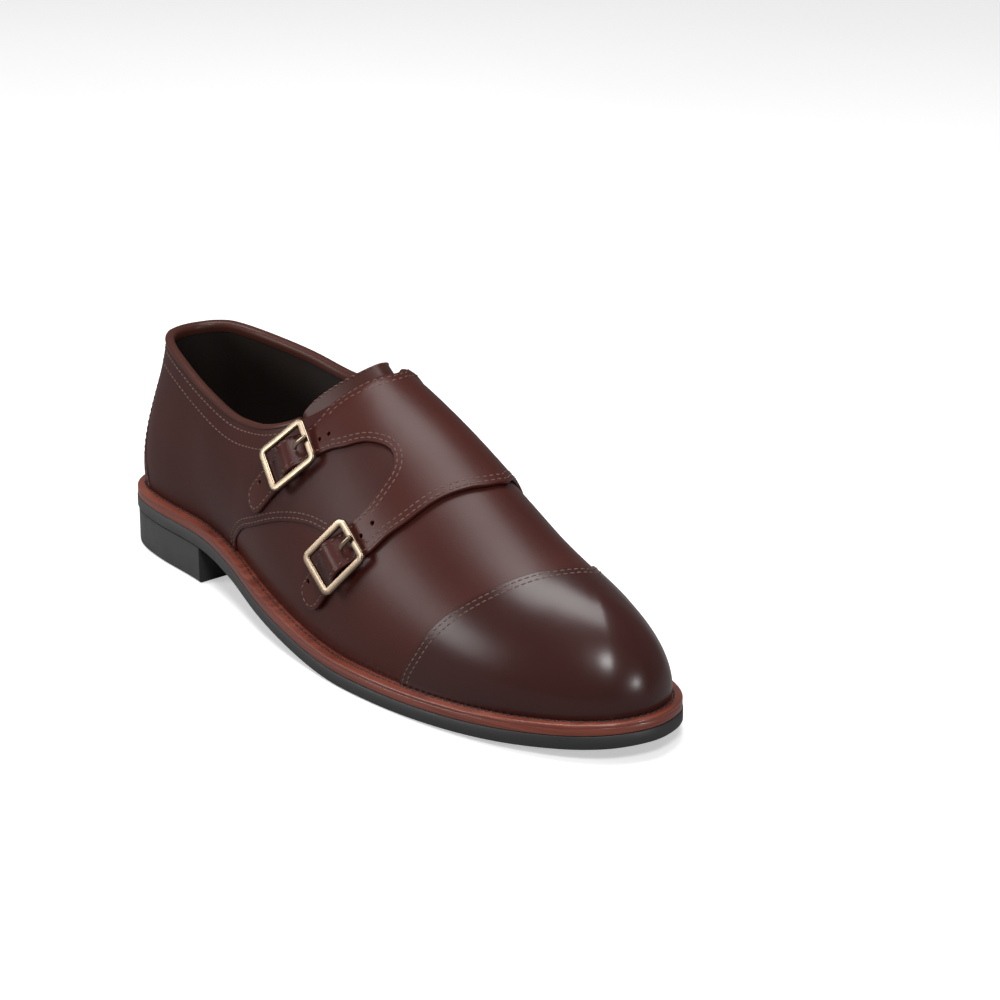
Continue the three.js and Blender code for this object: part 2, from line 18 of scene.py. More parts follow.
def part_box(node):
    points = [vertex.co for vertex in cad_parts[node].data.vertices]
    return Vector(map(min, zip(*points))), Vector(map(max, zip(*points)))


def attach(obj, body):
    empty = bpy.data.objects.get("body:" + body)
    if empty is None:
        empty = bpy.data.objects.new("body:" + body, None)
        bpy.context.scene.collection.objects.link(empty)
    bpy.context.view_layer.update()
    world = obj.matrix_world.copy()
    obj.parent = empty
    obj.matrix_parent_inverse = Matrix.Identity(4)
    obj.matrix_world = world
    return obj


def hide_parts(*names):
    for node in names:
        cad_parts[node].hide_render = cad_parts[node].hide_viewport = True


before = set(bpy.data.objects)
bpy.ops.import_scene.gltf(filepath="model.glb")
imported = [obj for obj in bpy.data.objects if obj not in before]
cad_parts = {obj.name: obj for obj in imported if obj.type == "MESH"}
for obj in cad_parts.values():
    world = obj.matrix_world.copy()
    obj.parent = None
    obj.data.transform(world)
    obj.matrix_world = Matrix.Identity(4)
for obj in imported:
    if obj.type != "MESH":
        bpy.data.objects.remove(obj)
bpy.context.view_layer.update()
MM = 0.001
print("nodes:", ", ".join(sorted(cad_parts)))

# %% [markdown]
# ## Camera, floor and light
# The view looks down on the outer side of the shoe from in front, with a long lens so that
# the toe isn't swollen. The camera's three axes are written as a matrix, which says exactly
# which way is right, up and back. Polished leather shows the lamps, so they are wide and soft.

# %% Camera, floor and light
CAMERA_RIGHT, CAMERA_UP = Vector((0.6361, 0.7716, 0.0)), Vector((-0.2765, 0.2280, 0.9336))
CAMERA_BACK = CAMERA_RIGHT.cross(CAMERA_UP)
camera_data = bpy.data.cameras.new("camera")
camera_data.lens, camera_data.sensor_width, camera_data.clip_start = 109.7, 36, 0.05
camera = bpy.data.objects.new("camera", camera_data)
camera.matrix_world = Matrix.Translation((0.8733, -0.6640, 0.4744)) @ Matrix(
    (CAMERA_RIGHT, CAMERA_UP, CAMERA_BACK)).transposed().to_4x4()
bpy.context.collection.objects.link(camera)
bpy.context.scene.camera = camera


def lamp(name, place, aim, size, watts, colour=(1, 1, 1)):
    data = bpy.data.lights.new(name, "AREA")
    data.shape, data.size, data.size_y, data.energy, data.color = "RECTANGLE", *size, watts, colour
    light = bpy.data.objects.new(name, data)
    light.location = place
    light.rotation_euler = (Vector(aim) - Vector(place)).to_track_quat("-Z", "Y").to_euler()
    bpy.context.collection.objects.link(light)


lamp("top_softbox", (-0.12, -0.1, 1.25), (0, 0, 0), (0.5, 0.85), 12)
lamp("front_softbox", (0.77, -0.5, 0.92), (0.12, 0, 0.03), (0.3, 0.22), 6)
lamp("toe_softbox", (1.28, 0.15, 0.34), (0.14, 0, 0.03), (0.16, 0.16), 2.8)
lamp("side_softbox", (-0.6, -1.1, 0.5), (0, 0, 0.04), (0.6, 0.4), 6)
world = bpy.data.worlds.new("studio")
bpy.context.scene.world = world
world.use_nodes = True
world.node_tree.nodes["Background"].inputs[0].default_value = (1, 1, 1, 1)
world.node_tree.nodes["Background"].inputs[1].default_value = 0.19
bpy.context.scene.view_settings.view_transform = "Standard"


def clear_choice():
    if bpy.context.mode != "OBJECT":
        bpy.ops.object.mode_set(mode="OBJECT")
    bpy.ops.object.select_all(action="DESELECT")


clear_choice()
bpy.ops.mesh.primitive_plane_add(size=6, location=(0, 0, -0.0002))
floor = bpy.context.object
floor.name = "floor"
print("camera, four soft lamps and a floor")

# %% [markdown]
# ## Materials
# Polished calf is never one flat colour. Under a clear, slightly soft coat the dye lies
# unevenly, the grain makes tiny pebbles, and burnishing darkens the toe. Each finish is a
# small tree of nodes that reads the object's own coordinates, so the pattern sits on the
# piece. A noise varies the dye, a fine Voronoi pattern makes the grain's bump.

# %% Helpers for finishes


def new_finish(name):
    material = bpy.data.materials.new(name)
    material.use_nodes = True
    tree = material.node_tree
    shader = tree.nodes["Principled BSDF"]
    where = tree.nodes.new("ShaderNodeTexCoord")
    return material, tree, shader, where.outputs["Object"]


def noise(tree, where, scale, detail=3.0, rough=0.55, stretch=(1, 1, 1)):
    turn = tree.nodes.new("ShaderNodeMapping")
    turn.inputs["Scale"].default_value = stretch
    node = tree.nodes.new("ShaderNodeTexNoise")
    node.inputs["Scale"].default_value = scale
    node.inputs["Detail"].default_value = detail
    node.inputs["Roughness"].default_value = rough
    tree.links.new(where, turn.inputs["Vector"])
    tree.links.new(turn.outputs["Vector"], node.inputs["Vector"])
    return node.outputs["Fac"]


def ramp(tree, value, stops):
    node = tree.nodes.new("ShaderNodeValToRGB")
    band = node.color_ramp
    while len(band.elements) < len(stops):
        band.elements.new(0.5)
    for element, (place, colour) in zip(band.elements, stops):
        element.position = place
        element.color = (*colour, 1) if len(colour) == 3 else colour
    tree.links.new(value, node.inputs["Fac"])
    return node.outputs["Color"]


def grey(tree, value, low, high, start=0.3, end=0.7):
    """Maps a value between start and end to one between low and high."""
    node = tree.nodes.new("ShaderNodeMapRange")
    for key, number in zip(("From Min", "From Max", "To Min", "To Max"), (start, end, low, high)):
        node.inputs[key].default_value = number
    tree.links.new(value, node.inputs["Value"])
    return node.outputs["Result"]


def bump(tree, shader, height, strength, distance, under=None):
    node = tree.nodes.new("ShaderNodeBump")
    node.inputs["Strength"].default_value = strength
    node.inputs["Distance"].default_value = distance
    tree.links.new(height, node.inputs["Height"])
    if under is not None:
        tree.links.new(under, node.inputs["Normal"])
    tree.links.new(node.outputs["Normal"], shader.inputs["Normal"])
    return node.outputs["Normal"]


def leather(name, light, dark, rough=(0.34, 0.44), coat=0.06, grain=0.12):
    material, tree, shader, where = new_finish(name)
    dye = ramp(tree, noise(tree, where, 18, 2), [(0.2, dark), (0.8, light)])
    tree.links.new(dye, shader.inputs["Base Color"])
    tree.links.new(grey(tree, noise(tree, where, 50, 2), *rough, 0.0, 1.0), shader.inputs["Roughness"])
    shader.inputs["Coat Weight"].default_value = coat
    shader.inputs["Coat Roughness"].default_value = 0.24
    shader.inputs["Specular IOR Level"].default_value = 0.22
    pebbles = tree.nodes.new("ShaderNodeTexVoronoi")
    pebbles.inputs["Scale"].default_value = 1500
    tree.links.new(where, pebbles.inputs["Vector"])
    first = bump(tree, shader, pebbles.outputs["Distance"], grain, 0.00012)
    bump(tree, shader, noise(tree, where, 420, 3), grain, 0.00012, first)
    return material


# %% [markdown]
# ## The finishes
# The same hide takes wax differently on each piece: the cap is burnished dark and shines most,
# the quarters are duller, and the strap is a little warmer. The sole's edge is stained, the
# brass is aged, and the thread is waxed. The floor is a sheet of white paper.

# %% The calf of each piece
VAMP_CALF = leather("vamp_calf", (0.062, 0.0135, 0.0095), (0.042, 0.0088, 0.0066))
QUARTER_CALF = leather("quarter_calf", (0.052, 0.0120, 0.0088), (0.036, 0.0080, 0.0062), (0.42, 0.5), 0.02)
CAP_CALF = leather("cap_calf", (0.040, 0.0100, 0.0080), (0.028, 0.0072, 0.0060), (0.27, 0.33), 0.3, 0.06)
STRAP_CALF = leather("strap_calf", (0.066, 0.0145, 0.0098), (0.046, 0.0096, 0.0070))
TONGUE_CALF = leather("tongue_calf", (0.062, 0.0180, 0.0130), (0.040, 0.0120, 0.0090))
BINDING_CALF = leather("binding_calf", (0.075, 0.0210, 0.0125), (0.045, 0.0130, 0.0090), (0.38, 0.5), 0.1)
LINING_CALF = leather("lining_calf", (0.022, 0.014, 0.011), (0.012, 0.008, 0.007), (0.6, 0.75), 0.0, 0.2)

# %% Rubber, stain, brass, thread and paper


def rubber_with_painted_heel_light():
    material, tree, shader, where = new_finish("sole_rubber_painted_heel_light")
    along = tree.nodes.new("ShaderNodeSeparateXYZ")
    tree.links.new(where, along.inputs["Vector"])
    # painted light: the base colour runs from lighter at the heel to darker at the toe, a painted highlight
    # on the heel and painted shade towards the toe
    tint = ramp(tree, grey(tree, along.outputs["X"], 0, 1, -0.13, 0.13),
                [(0, (0.052, 0.050, 0.050)), (0.5, (0.030, 0.029, 0.029)), (1, (0.022, 0.021, 0.021))])
    tree.links.new(tint, shader.inputs["Base Color"])
    tree.links.new(grey(tree, noise(tree, where, 90, 4), 0.42, 0.6), shader.inputs["Roughness"])
    bump(tree, shader, noise(tree, where, 900, 3), 0.12, 0.0002)
    return material


def edge_stain():
    """Layers of board, stained red-brown and waxed: long thin streaks along the edge."""
    material, tree, shader, where = new_finish("midsole_stain")
    layers = noise(tree, where, 60, 5, 0.6, stretch=(0.35, 0.35, 26))
    tint = ramp(tree, layers, [(0.25, (0.080, 0.014, 0.008)), (0.5, (0.165, 0.034, 0.018)),
                               (0.75, (0.225, 0.052, 0.029))])
    tree.links.new(tint, shader.inputs["Base Color"])
    tree.links.new(grey(tree, layers, 0.3, 0.45), shader.inputs["Roughness"])
    shader.inputs["Coat Weight"].default_value = 0.2
    bump(tree, shader, layers, 0.25, 0.0002)
    return material


def old_brass():
    material, tree, shader, where = new_finish("aged_brass")
    tint = ramp(tree, noise(tree, where, 120, 3), [(0.3, (0.27, 0.20, 0.14)), (0.7, (0.36, 0.28, 0.20))])
    tree.links.new(tint, shader.inputs["Base Color"])
    shader.inputs["Metallic"].default_value = 1.0
    tree.links.new(grey(tree, noise(tree, where, 150, 2), 0.26, 0.34), shader.inputs["Roughness"])
    return material


def waxed_thread(name, light, dark):
    material, tree, shader, where = new_finish(name)
    tint = ramp(tree, noise(tree, where, 1500, 2), [(0.3, dark), (0.7, light)])
    tree.links.new(tint, shader.inputs["Base Color"])
    shader.inputs["Roughness"].default_value = 0.55
    bump(tree, shader, noise(tree, where, 5000, 2), 0.3, 0.0001)
    return material


def floor_paper():
    """White paper, lit from below for the eye only, so that it doesn't fill the shadows."""
    material, tree, shader, where = new_finish("floor_paper")
    tint = ramp(tree, noise(tree, where, 3, 2), [(0.3, (0.84, 0.84, 0.84)), (0.7, (0.88, 0.88, 0.88))])
    tree.links.new(tint, shader.inputs["Base Color"])
    shader.inputs["Roughness"].default_value = 0.9
    seen = tree.nodes.new("ShaderNodeLightPath").outputs["Is Camera Ray"]
    tree.links.new(grey(tree, seen, 0.0, 0.45, 0, 1), shader.inputs["Emission Strength"])
    shader.inputs["Emission Color"].default_value = (1, 1, 1, 1)
    dim = tree.nodes.new("ShaderNodeBsdfDiffuse")
    dim.inputs["Color"].default_value = (0.30, 0.30, 0.30, 1)
    either = tree.nodes.new("ShaderNodeMixShader")
    tree.links.new(seen, either.inputs["Fac"])
    tree.links.new(dim.outputs["BSDF"], either.inputs[1])
    tree.links.new(shader.outputs["BSDF"], either.inputs[2])
    tree.links.new(either.outputs["Shader"], tree.nodes["Material Output"].inputs["Surface"])
    return material


RUBBER, EDGE_STAIN, BRASS = rubber_with_painted_heel_light(), edge_stain(), old_brass()
THREAD = waxed_thread("upper_thread", (0.165, 0.088, 0.070), (0.085, 0.042, 0.034))
WELT_THREAD = waxed_thread("welt_thread", (0.030, 0.014, 0.011), (0.012, 0.007, 0.006))
floor.data.materials.append(floor_paper())
print("finishes:", ", ".join(sorted(m.name for m in bpy.data.materials)))

# %% [markdown]
# ## The last
# The last is the wooden foot that the leather is pulled over. It is described as the model
# has it: a row of sections from heel to toe, each a curve from the welt up to the collar or
# the ridge of the instep. A place on it is a station u, 0 at the heel's back and 16 at the toe's
# tip, and c, which is -1 at the outer welt, 0 on the collar or ridge and +1 at the inner welt.

# %% The last's tables (mm)
SECTIONS = [
    # x, outer and inner half width of the sole, bulge, rise, spread, drop (outer, inner)
    (0.0, 0.0, 0.0, (3, 3), (20, 20), (3, 3), (22, 22)),
    (2.0, 11.0, 11.0, (3, 3), (20, 20), (3, 3), (22, 22)),
    (8.0, 21.0, 21.0, (3, 3), (20, 20), (3, 3), (22, 22)),
    (18.0, 27.0, 27.0, (3, 3), (20, 20), (3, 3), (22, 22)),
    (36.0, 30.3, 30.5, (3, 4), (20, 20), (3, 3), (22, 22)),
    (66.0, 32.0, 31.5, (4, 6), (20, 20), (4, 4), (22, 22)),
    (96.0, 37.3, 29.0, (5, 9), (20, 22), (7, 5), (20, 20)),
    (126.0, 44.3, 28.5, (5, 11), (26, 26), (11, 8), (16, 16)),
    (156.0, 48.0, 36.0, (4, 8), (36, 36), (23, 19), (0, 0)),
    (186.0, 49.4, 46.0, (4, 4), (34, 32), (24, 17), (0, 0)),
    (214.0, 47.6, 49.5, (3, 2), (30, 26), (24, 13.5), (0, 0)),
    (240.0, 43.4, 44.4, (3, 2), (26, 24), (23, 11.5), (0, 0)),
    (262.0, 37.4, 38.0, (3, 3), (22, 22), (22, 13.5), (0, 0)),
    (280.0, 29.5, 32.5, (2, 2), (18, 18), (21, 16), (0, 0)),
    (293.0, 21.0, 26.0, (2, 2), (15, 15), (20, 18), (0, 0)),
    (301.5, 11.0, 17.0, (2, 2), (14, 14), (20, 20), (0, 0)),
    (305.5, -3.0, 3.0, (2, 2), (14, 14), (20, 20), (0, 0)),
]
TOPS = [
    # x, outer and inner half width of the collar, its height (outer, inner)
    (18.0, 0, 0, (91, 91)), (18.8, 5.5, 5.5, (91, 91)), (22.0, 11.5, 11.5, (91, 91.3)),
    (29.0, 16.5, 16.5, (90, 91.3)), (44.0, 21.0, 22.5, (87, 89)), (68.0, 24.5, 27.5, (80.5, 86)),
    (95.0, 26.0, 29.5, (76.3, 83)), (124.0, 24.0, 27.5, (83, 87)), (153.0, -3, 3, (103, 103)),
    (178.0, -5, 5, (92.5, 92.5)), (203.0, -6, 6, (80, 80)), (225.0, -6.3, 6.3, (68.5, 68.5)),
    (243.0, -6, 6, (60.5, 60.5)), (256.0, -5.3, 5.3, (56.5, 56.5)), (264.0, -4.7, 4.7, (54, 54)),
    (268.5, -4.3, 4.3, (52.5, 52.5)), (270.0, -4, 4, (52, 52)),
]
PEAK, TIP = 8, 16               # the collar's front and the toe's tip, as stations
HEEL_STACK, HEEL_BREAST, OUTSOLE, MIDSOLE, GAP = 15.5, 67.5, 5.4, 4.5, 0.3
TREAD_START, TREAD_END, SOLE_TIP, TOE_SPRING = 187, 202, 305.5, 6.6
WELT_MARGIN, WALL = 5.0, 2.2

# %% The last's surface


def through(points, t, closed):
    """A smooth curve through the points, at t from 0 to 1."""
    points = np.asarray(points, float)
    count = len(points)
    place = np.asarray(t, float) * (count if closed else count - 1)
    first = np.floor(place).astype(int)
    if closed:
        pick = lambda k: points[k % count]
    else:
        first = np.clip(first, 0, count - 2)
        padded = np.vstack([2 * points[0] - points[1], points, 2 * points[-1] - points[-2]])
        pick = lambda k: padded[k + 1]
    f = (place - first)[..., None]
    p0, p1, p2, p3 = (pick(first + k) for k in (-1, 0, 1, 2))
    a, b = (p2 - p0) / 2, (p3 - p1) / 2
    return p1 + f * (a + f * ((3 * (p2 - p1) - 2 * a - b) + f * (2 * (p1 - p2) + a + b)))


def sided(pick, span=TIP):
    """Rows round the shoe: the outer side from toe to heel, then the inner side back."""
    return [pick(k, 0 if k < 0 else 1) for k in range(-span, span)]


OUTLINE = sided(lambda k, s: (SECTIONS[abs(k)][0], SECTIONS[abs(k)][1 + s] * (1 if s else -1)))
FEATHER = sided(lambda k, s: (SECTIONS[abs(k)][3][s], SECTIONS[abs(k)][4][s]))
CROWN = sided(lambda k, s: (SECTIONS[abs(k)][5][s], SECTIONS[abs(k)][6][s]))
COLLAR = sided(lambda k, s: (TOPS[abs(k)][0], TOPS[abs(k)][1 + s] * (1 if s else -1),
                             TOPS[abs(k)][3][s]), PEAK)
RIDGE = [(row[0], row[2], row[3][1]) for row in TOPS[PEAK:]]
wrap = lambda w: ((w + TIP) / (2 * TIP)) % 1
unit = lambda v: v / np.maximum(np.linalg.norm(v, axis=-1, keepdims=True), 1e-12)
smooth = lambda t: np.clip(t, 0, 1) ** 2 * (3 - 2 * np.clip(t, 0, 1))


def sole_bottom(x):
    x = np.asarray(x, float)
    waist = HEEL_STACK * (1 - smooth((x - HEEL_BREAST) / (TREAD_START - HEEL_BREAST)))
    toe = TOE_SPRING * (np.clip(x - TREAD_END, 0, None) / (SOLE_TIP - TREAD_END)) ** 2
    return waist + toe


welt_top = lambda x: sole_bottom(x) + OUTSOLE + MIDSOLE


def outline_at(w, inset=0.0):
    """The sole's outline at w, moved inwards by inset."""
    w = np.asarray(w, float)
    tangent = through(OUTLINE, wrap(w + 0.01), True) - through(OUTLINE, wrap(w - 0.01), True)
    outwards = unit(np.stack([-tangent[..., 1], tangent[..., 0]], -1))
    return through(OUTLINE, wrap(w), True) - outwards * inset, outwards


def ridge_part(w):
    u = np.abs(w)
    return (np.minimum(u, 2 * TIP - u) - PEAK) / (TIP - PEAK)


def ridge_slope(w):
    t = np.clip(ridge_part(w), 0, 0.97)
    step = through(RIDGE, t + 0.02, False) - through(RIDGE, t, False)
    return -step[..., 2] / step[..., 0]


def top_at(w):
    w = np.asarray(w, float)
    collar = through(COLLAR, ((w + PEAK) / (2 * PEAK)) % 1, True)
    ridge = through(RIDGE, np.clip(ridge_part(w), 0, 1), False)
    return np.where((np.abs(w) <= PEAK)[..., None], collar, ridge)


def on_last(w, v):
    """Points on the last in mm, for arrays of places w round it and v up it."""
    w, v = np.broadcast_arrays(np.asarray(w, float), np.asarray(v, float))
    edge, outwards = outline_at(w, WELT_MARGIN)
    foot = np.concatenate([edge, (welt_top(edge[..., 0]) + GAP)[..., None]], -1)
    outwards = np.concatenate([outwards, np.zeros(w.shape + (1,))], -1)
    top = top_at(w)
    low, high = through(FEATHER, wrap(w), True), through(CROWN, wrap(w), True)
    away = foot - top
    away[..., 2] = 0
    away = unit(away)
    over_ridge = smooth((np.abs(w) - PEAK + 0.5) / 1.0)
    drop = high[..., 1] * (1 - over_ridge) + high[..., 0] * away[..., 0] * ridge_slope(w) * over_ridge
    upright = np.array([0, 0, 1.0])
    low_handle = foot + outwards * low[..., :1] + upright * low[..., 1:]
    high_handle = top + away * high[..., :1] - upright * drop[..., None]
    v = v[..., None]
    c = 1 - v
    return foot * c ** 3 + low_handle * 3 * c * c * v + high_handle * 3 * c * v * v + top * v ** 3


sole_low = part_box("outsole")[0]
side_points = outline_at(np.linspace(-TIP, TIP, 2001))[0]
SHIFT = np.array([sole_low[0] / MM, sole_low[1] / MM - side_points[:, 1].min(), 0])


def world_of(points):
    """From the last's own millimetres to the model's metres."""
    return (points + SHIFT) * MM


def place(u, c):
    u, c = np.asarray(u, float), np.asarray(c, float)
    return world_of(on_last(np.where(c < 0, -u, u), 1 - np.abs(c)))


print("shift of the last (mm):", np.round(SHIFT, 3))

# %% [markdown]
# ## Pressing leather on to the last
# The last becomes a fine net of triangles with a smooth normal at each corner. A tree over
# the net finds the nearest place to any point, which is how a leather edge is moved inwards
# along the surface, and where a ray from inside leaves it, which fills the piece's middle.

# %% The last as a net


def net_corners(ids):
    """The four corners of each cell of a net of numbers, in order round the cell."""
    return [ids[i:ids.shape[0] - 1 + i, j:ids.shape[1] - 1 + j].ravel()
            for i, j in ((0, 0), (1, 0), (1, 1), (0, 1))]


ROUND = np.linspace(-TIP, TIP, 801)
UP = np.linspace(-0.05, 1, 121)
RASP_STROKES = 160
net = world_of(on_last(ROUND[:, None], UP[None, :]))
# a rasp takes the ripple off the wood where the collar meets the ridge
rasped = net.copy()
for _ in range(RASP_STROKES):
    rasped[1:-1] = (rasped[:-2] + 2 * rasped[1:-1] + rasped[2:]) / 4
near_peak = smooth(3 - 1.5 * np.abs(np.abs(ROUND) - PEAK))[:, None, None]
net += (rasped - net) * (near_peak * smooth((0.95 - UP) / 0.25)[None, :, None])
rows, columns = net.shape[:2]
index = np.arange(rows * columns).reshape(rows, columns)
index[-1] = index[0]                                # the toe's tip is met from both sides
inner_ridge = ROUND > PEAK
index[inner_ridge, -1] = index[::-1][inner_ridge, -1]           # and so is the ridge
four = net_corners(index)
triangles = np.concatenate([np.stack([four[k] for k in half], -1) for half in ((0, 1, 2), (0, 2, 3))])
corners = net.reshape(-1, 3)


def corner_normals(points, faces, passes=0):
    """A normal for each corner, smoothed over its neighbours that many times."""
    p, q, r = (points[faces[:, k]] for k in range(3))
    flat = np.cross(q - p, r - p)
    normals = np.zeros_like(points)
    for k in range(3):
        np.add.at(normals, faces[:, k], flat)
    normals = unit(normals)
    for _ in range(passes):
        wide = normals.copy()
        for k in range(3):
            np.add.at(wide, faces[:, k], normals[faces[:, (k + 1) % 3]] * 0.5)
        normals = unit(wide)
    return normals


LAST_NORMALS = corner_normals(corners, triangles, 4)
if np.sum(LAST_NORMALS * (corners - corners.mean(0))) < 0:
    triangles = triangles[:, ::-1]
    LAST_NORMALS = -LAST_NORMALS
LAST = BVHTree.FromPolygons(corners.tolist(), triangles.tolist())


def on_net(points, faces):
    """The smooth normals of points that lie on the given triangles."""
    tri = triangles[faces]
    p, q, r = (corners[tri[:, k]] for k in range(3))
    e, f, g = q - p, r - p, points - p
    ee, ef, ff = (np.einsum("ij,ij->i", x, y) for x, y in ((e, e), (e, f), (f, f)))
    ge, gf = np.einsum("ij,ij->i", g, e), np.einsum("ij,ij->i", g, f)
    det = np.maximum(ee * ff - ef * ef, 1e-24)
    s, t = (ff * ge - ef * gf) / det, (ee * gf - ef * ge) / det
    s, t = np.clip(s, 0, 1), np.clip(t, 0, 1)
    n = LAST_NORMALS[tri]
    return unit(n[:, 0] * (1 - s - t)[:, None] + n[:, 1] * s[:, None] + n[:, 2] * t[:, None])


def press(points):
    """The nearest places on the last, and its normals there."""
    hits = [LAST.find_nearest(Vector(p)) for p in np.asarray(points, float)]
    found = np.array([h[0] for h in hits])
    return found, on_net(found, np.array([h[2] for h in hits]))


print("last:", rows, "by", columns, "corners")

# %% [markdown]
# ## Cutting and laying a piece of leather
# A piece is an outline on the last. Rings inside the outline give its rolled edge and the shallow
# troughs that tight stitches pull; the middle is filled with a plain net. To fill it, the
# piece is flattened on to a chart: a tube round the foot, a dome over the toe or a roll round
# the heel. Rays from the chart's axis put the filling back on the last. The finished piece is
# a closed solid with a top, an underside and a cut edge.

# %% Charts


def tube(spread=45, centre=(0, 20)):
    """Round an axis along the foot: x against the angle."""
    y, z = (np.array([0, *centre]) + SHIFT)[1:] * MM
    radius = spread * MM
    flat = lambda p: np.stack([p[:, 0], radius * np.unwrap(np.arctan2(p[:, 2] - z, p[:, 1] - y))], -1)
    start = lambda q: np.stack([q[:, 0], np.full(len(q), y), np.full(len(q), z)], -1)
    aim = lambda q: np.stack([0 * q[:, 0], np.cos(q[:, 1] / radius), np.sin(q[:, 1] / radius)], -1)
    return flat, start, aim


def dome(centre, spread=48):
    """Over a point: how far from upright, and which way."""
    middle = (np.array(centre) + SHIFT) * MM
    radius = spread * MM

    def flat(p):
        d = unit(p - middle)
        tilt, way = np.arccos(np.clip(d[:, 2], -1, 1)), np.arctan2(d[:, 1], d[:, 0])
        return np.stack([tilt * np.cos(way), tilt * np.sin(way)], -1) * radius

    def aim(q):
        tilt = np.linalg.norm(q, axis=1) / radius
        way = np.arctan2(q[:, 1], q[:, 0])
        return np.stack([np.sin(tilt) * np.cos(way), np.sin(tilt) * np.sin(way), np.cos(tilt)], -1)
    return flat, lambda q: np.tile(middle, (len(q), 1)), aim


def roll(centre=(32, 0), spread=28):
    """Round an upright axis in the heel: the angle against the height."""
    x, y = (np.array([*centre, 0]) + SHIFT)[:2] * MM
    radius = spread * MM
    flat = lambda p: np.stack([radius * np.arctan2(p[:, 1] - y, x - p[:, 0]), p[:, 2]], -1)
    start = lambda q: np.stack([np.full(len(q), x), np.full(len(q), y), q[:, 1]], -1)
    aim = lambda q: np.stack([-np.cos(q[:, 0] / radius), np.sin(q[:, 0] / radius), 0 * q[:, 0]], -1)
    return flat, start, aim


# %% Outlines and rings


def resample(points, pitch, closed=False):
    """Evenly spaced points along a line."""
    if closed:
        points = np.vstack([points, points[:1]])
    run = np.concatenate([[0], np.cumsum(np.linalg.norm(np.diff(points, axis=0), axis=1))])
    count = max(2, int(round(run[-1] / (pitch * MM))))
    at = np.linspace(0, run[-1], count + 1)
    even = np.stack([np.interp(at, run, points[:, k]) for k in range(points.shape[1])], -1)
    return even[:-1] if closed else even


def line(points, pitch=0.7):
    """A smooth line through a few points, evenly spaced and pressed on to the last."""
    points = np.asarray(points, float)
    t = np.linspace(0, 1, 24 * len(points))
    return press(resample(through(points, t, False), pitch))[0]


def marks(*pairs):
    """Places (u, c) as points on the last."""
    pairs = np.array(pairs, float)
    return place(pairs[:, 0], pairs[:, 1])


def loop_of(*lines):
    """Joins lines end to end into one closed outline."""
    points = np.vstack(lines)
    gap = np.linalg.norm(points - np.roll(points, 1, axis=0), axis=1)
    return resample(points[gap > 0.05 * MM], 0.7, True)


def inside(points, loops):
    """Which flat points lie inside the loops, holes taken out."""
    odd = np.zeros(len(points), bool)
    for ring in loops:
        x0, y0 = ring[:, 0], ring[:, 1]
        x1, y1 = np.roll(x0, -1), np.roll(y0, -1)
        for i in range(len(ring)):
            cross = (y0[i] > points[:, 1]) != (y1[i] > points[:, 1])
            if cross.any():
                reach = (x1[i] - x0[i]) * (points[cross, 1] - y0[i]) / (y1[i] - y0[i]) + x0[i]
                odd[cross] ^= points[cross, 0] < reach
    return odd


def ring_direction(ring):
    """The direction of a closed ring at each of its points."""
    return unit(np.roll(ring, -1, axis=0) - np.roll(ring, 1, axis=0))


def shifted(ring, distance, turn, longest=0.35):
    """The closed ring moved sideways along the last by distance (mm), in steps up to longest."""
    steps = max(1, int(math.ceil(abs(distance) / longest)))
    points, normals = press(ring)
    for _ in range(steps):
        points = points + np.cross(normals, ring_direction(points)) * (turn * distance * MM / steps)
        points = points * 0.8 + (np.roll(points, -1, axis=0) + np.roll(points, 1, axis=0)) * 0.1
        points, normals = press(points)
    return points


def mitred(ring, outline, distance):
    """Where a ring tangles inside a sharp corner, its points are drawn together into one."""
    gap = np.array([np.sqrt(((outline - p) ** 2).sum(1).min()) for p in ring])
    bad = gap < 0.9 * distance * MM
    if not bad.any() or bad.all():
        return ring
    good, fixed = np.flatnonzero(~bad), ring.copy()
    for k in np.flatnonzero(bad):
        before, after = good[good < k], good[good > k]
        last = before[-1] if len(before) else good[-1]
        following = after[0] if len(after) else good[0]
        fixed[k] = (ring[last] + ring[following]) / 2
    return fixed


# %% Closed solids from a top and an underside


def new_piece(name, points, faces, material, smooth_angle=40):
    mesh = bpy.data.meshes.new(name)
    mesh.from_pydata(np.asarray(points).tolist(), [], [list(f) for f in faces])
    mesh.update()
    piece = bpy.data.objects.new(name, mesh)
    bpy.context.collection.objects.link(piece)
    mesh.materials.append(material)
    tidy(piece, smooth_angle)
    return piece


def tidy(piece, smooth_angle=40, merge=0.000002):
    """Merges equal corners, turns all faces outwards and smooths all but sharp edges."""
    form = bmesh.new()
    form.from_mesh(piece.data)
    bmesh.ops.remove_doubles(form, verts=form.verts, dist=merge)
    bmesh.ops.dissolve_degenerate(form, edges=form.edges, dist=merge / 4)
    bmesh.ops.delete(form, geom=[e for e in form.edges if not e.link_faces], context="EDGES")
    bmesh.ops.delete(form, geom=[v for v in form.verts if not v.link_faces], context="VERTS")
    bmesh.ops.holes_fill(form, edges=[e for e in form.edges if len(e.link_faces) == 1], sides=12)
    bmesh.ops.recalc_face_normals(form, faces=form.faces)
    form.to_mesh(piece.data)
    form.free()
    clear_choice()
    piece.select_set(True)
    bpy.context.view_layer.objects.active = piece
    bpy.ops.object.shade_smooth_by_angle(angle=math.radians(smooth_angle))
    clear_choice()


def tell(piece):
    """Prints a piece's size, and how many of its edges don't join two faces."""
    form = bmesh.new()
    form.from_mesh(piece.data)
    count = sum(1 for e in form.edges if len(e.link_faces) != 2)
    form.free()
    print(f"{piece.name}: {len(piece.data.vertices)} corners, {count} open edges")


def edge_rings(thick, rows_of_stitches):
    """How the top rises from the cut edge: (distance in, height) in mm, with the troughs."""
    rings = [(0, thick * 0.45), (0.12, thick * 0.78), (0.4, thick * 0.97), (0.9, thick)]
    for at in rows_of_stitches:
        rings += [(at - 0.45, thick), (at, thick - 0.18), (at + 0.45, thick)]
    return rings


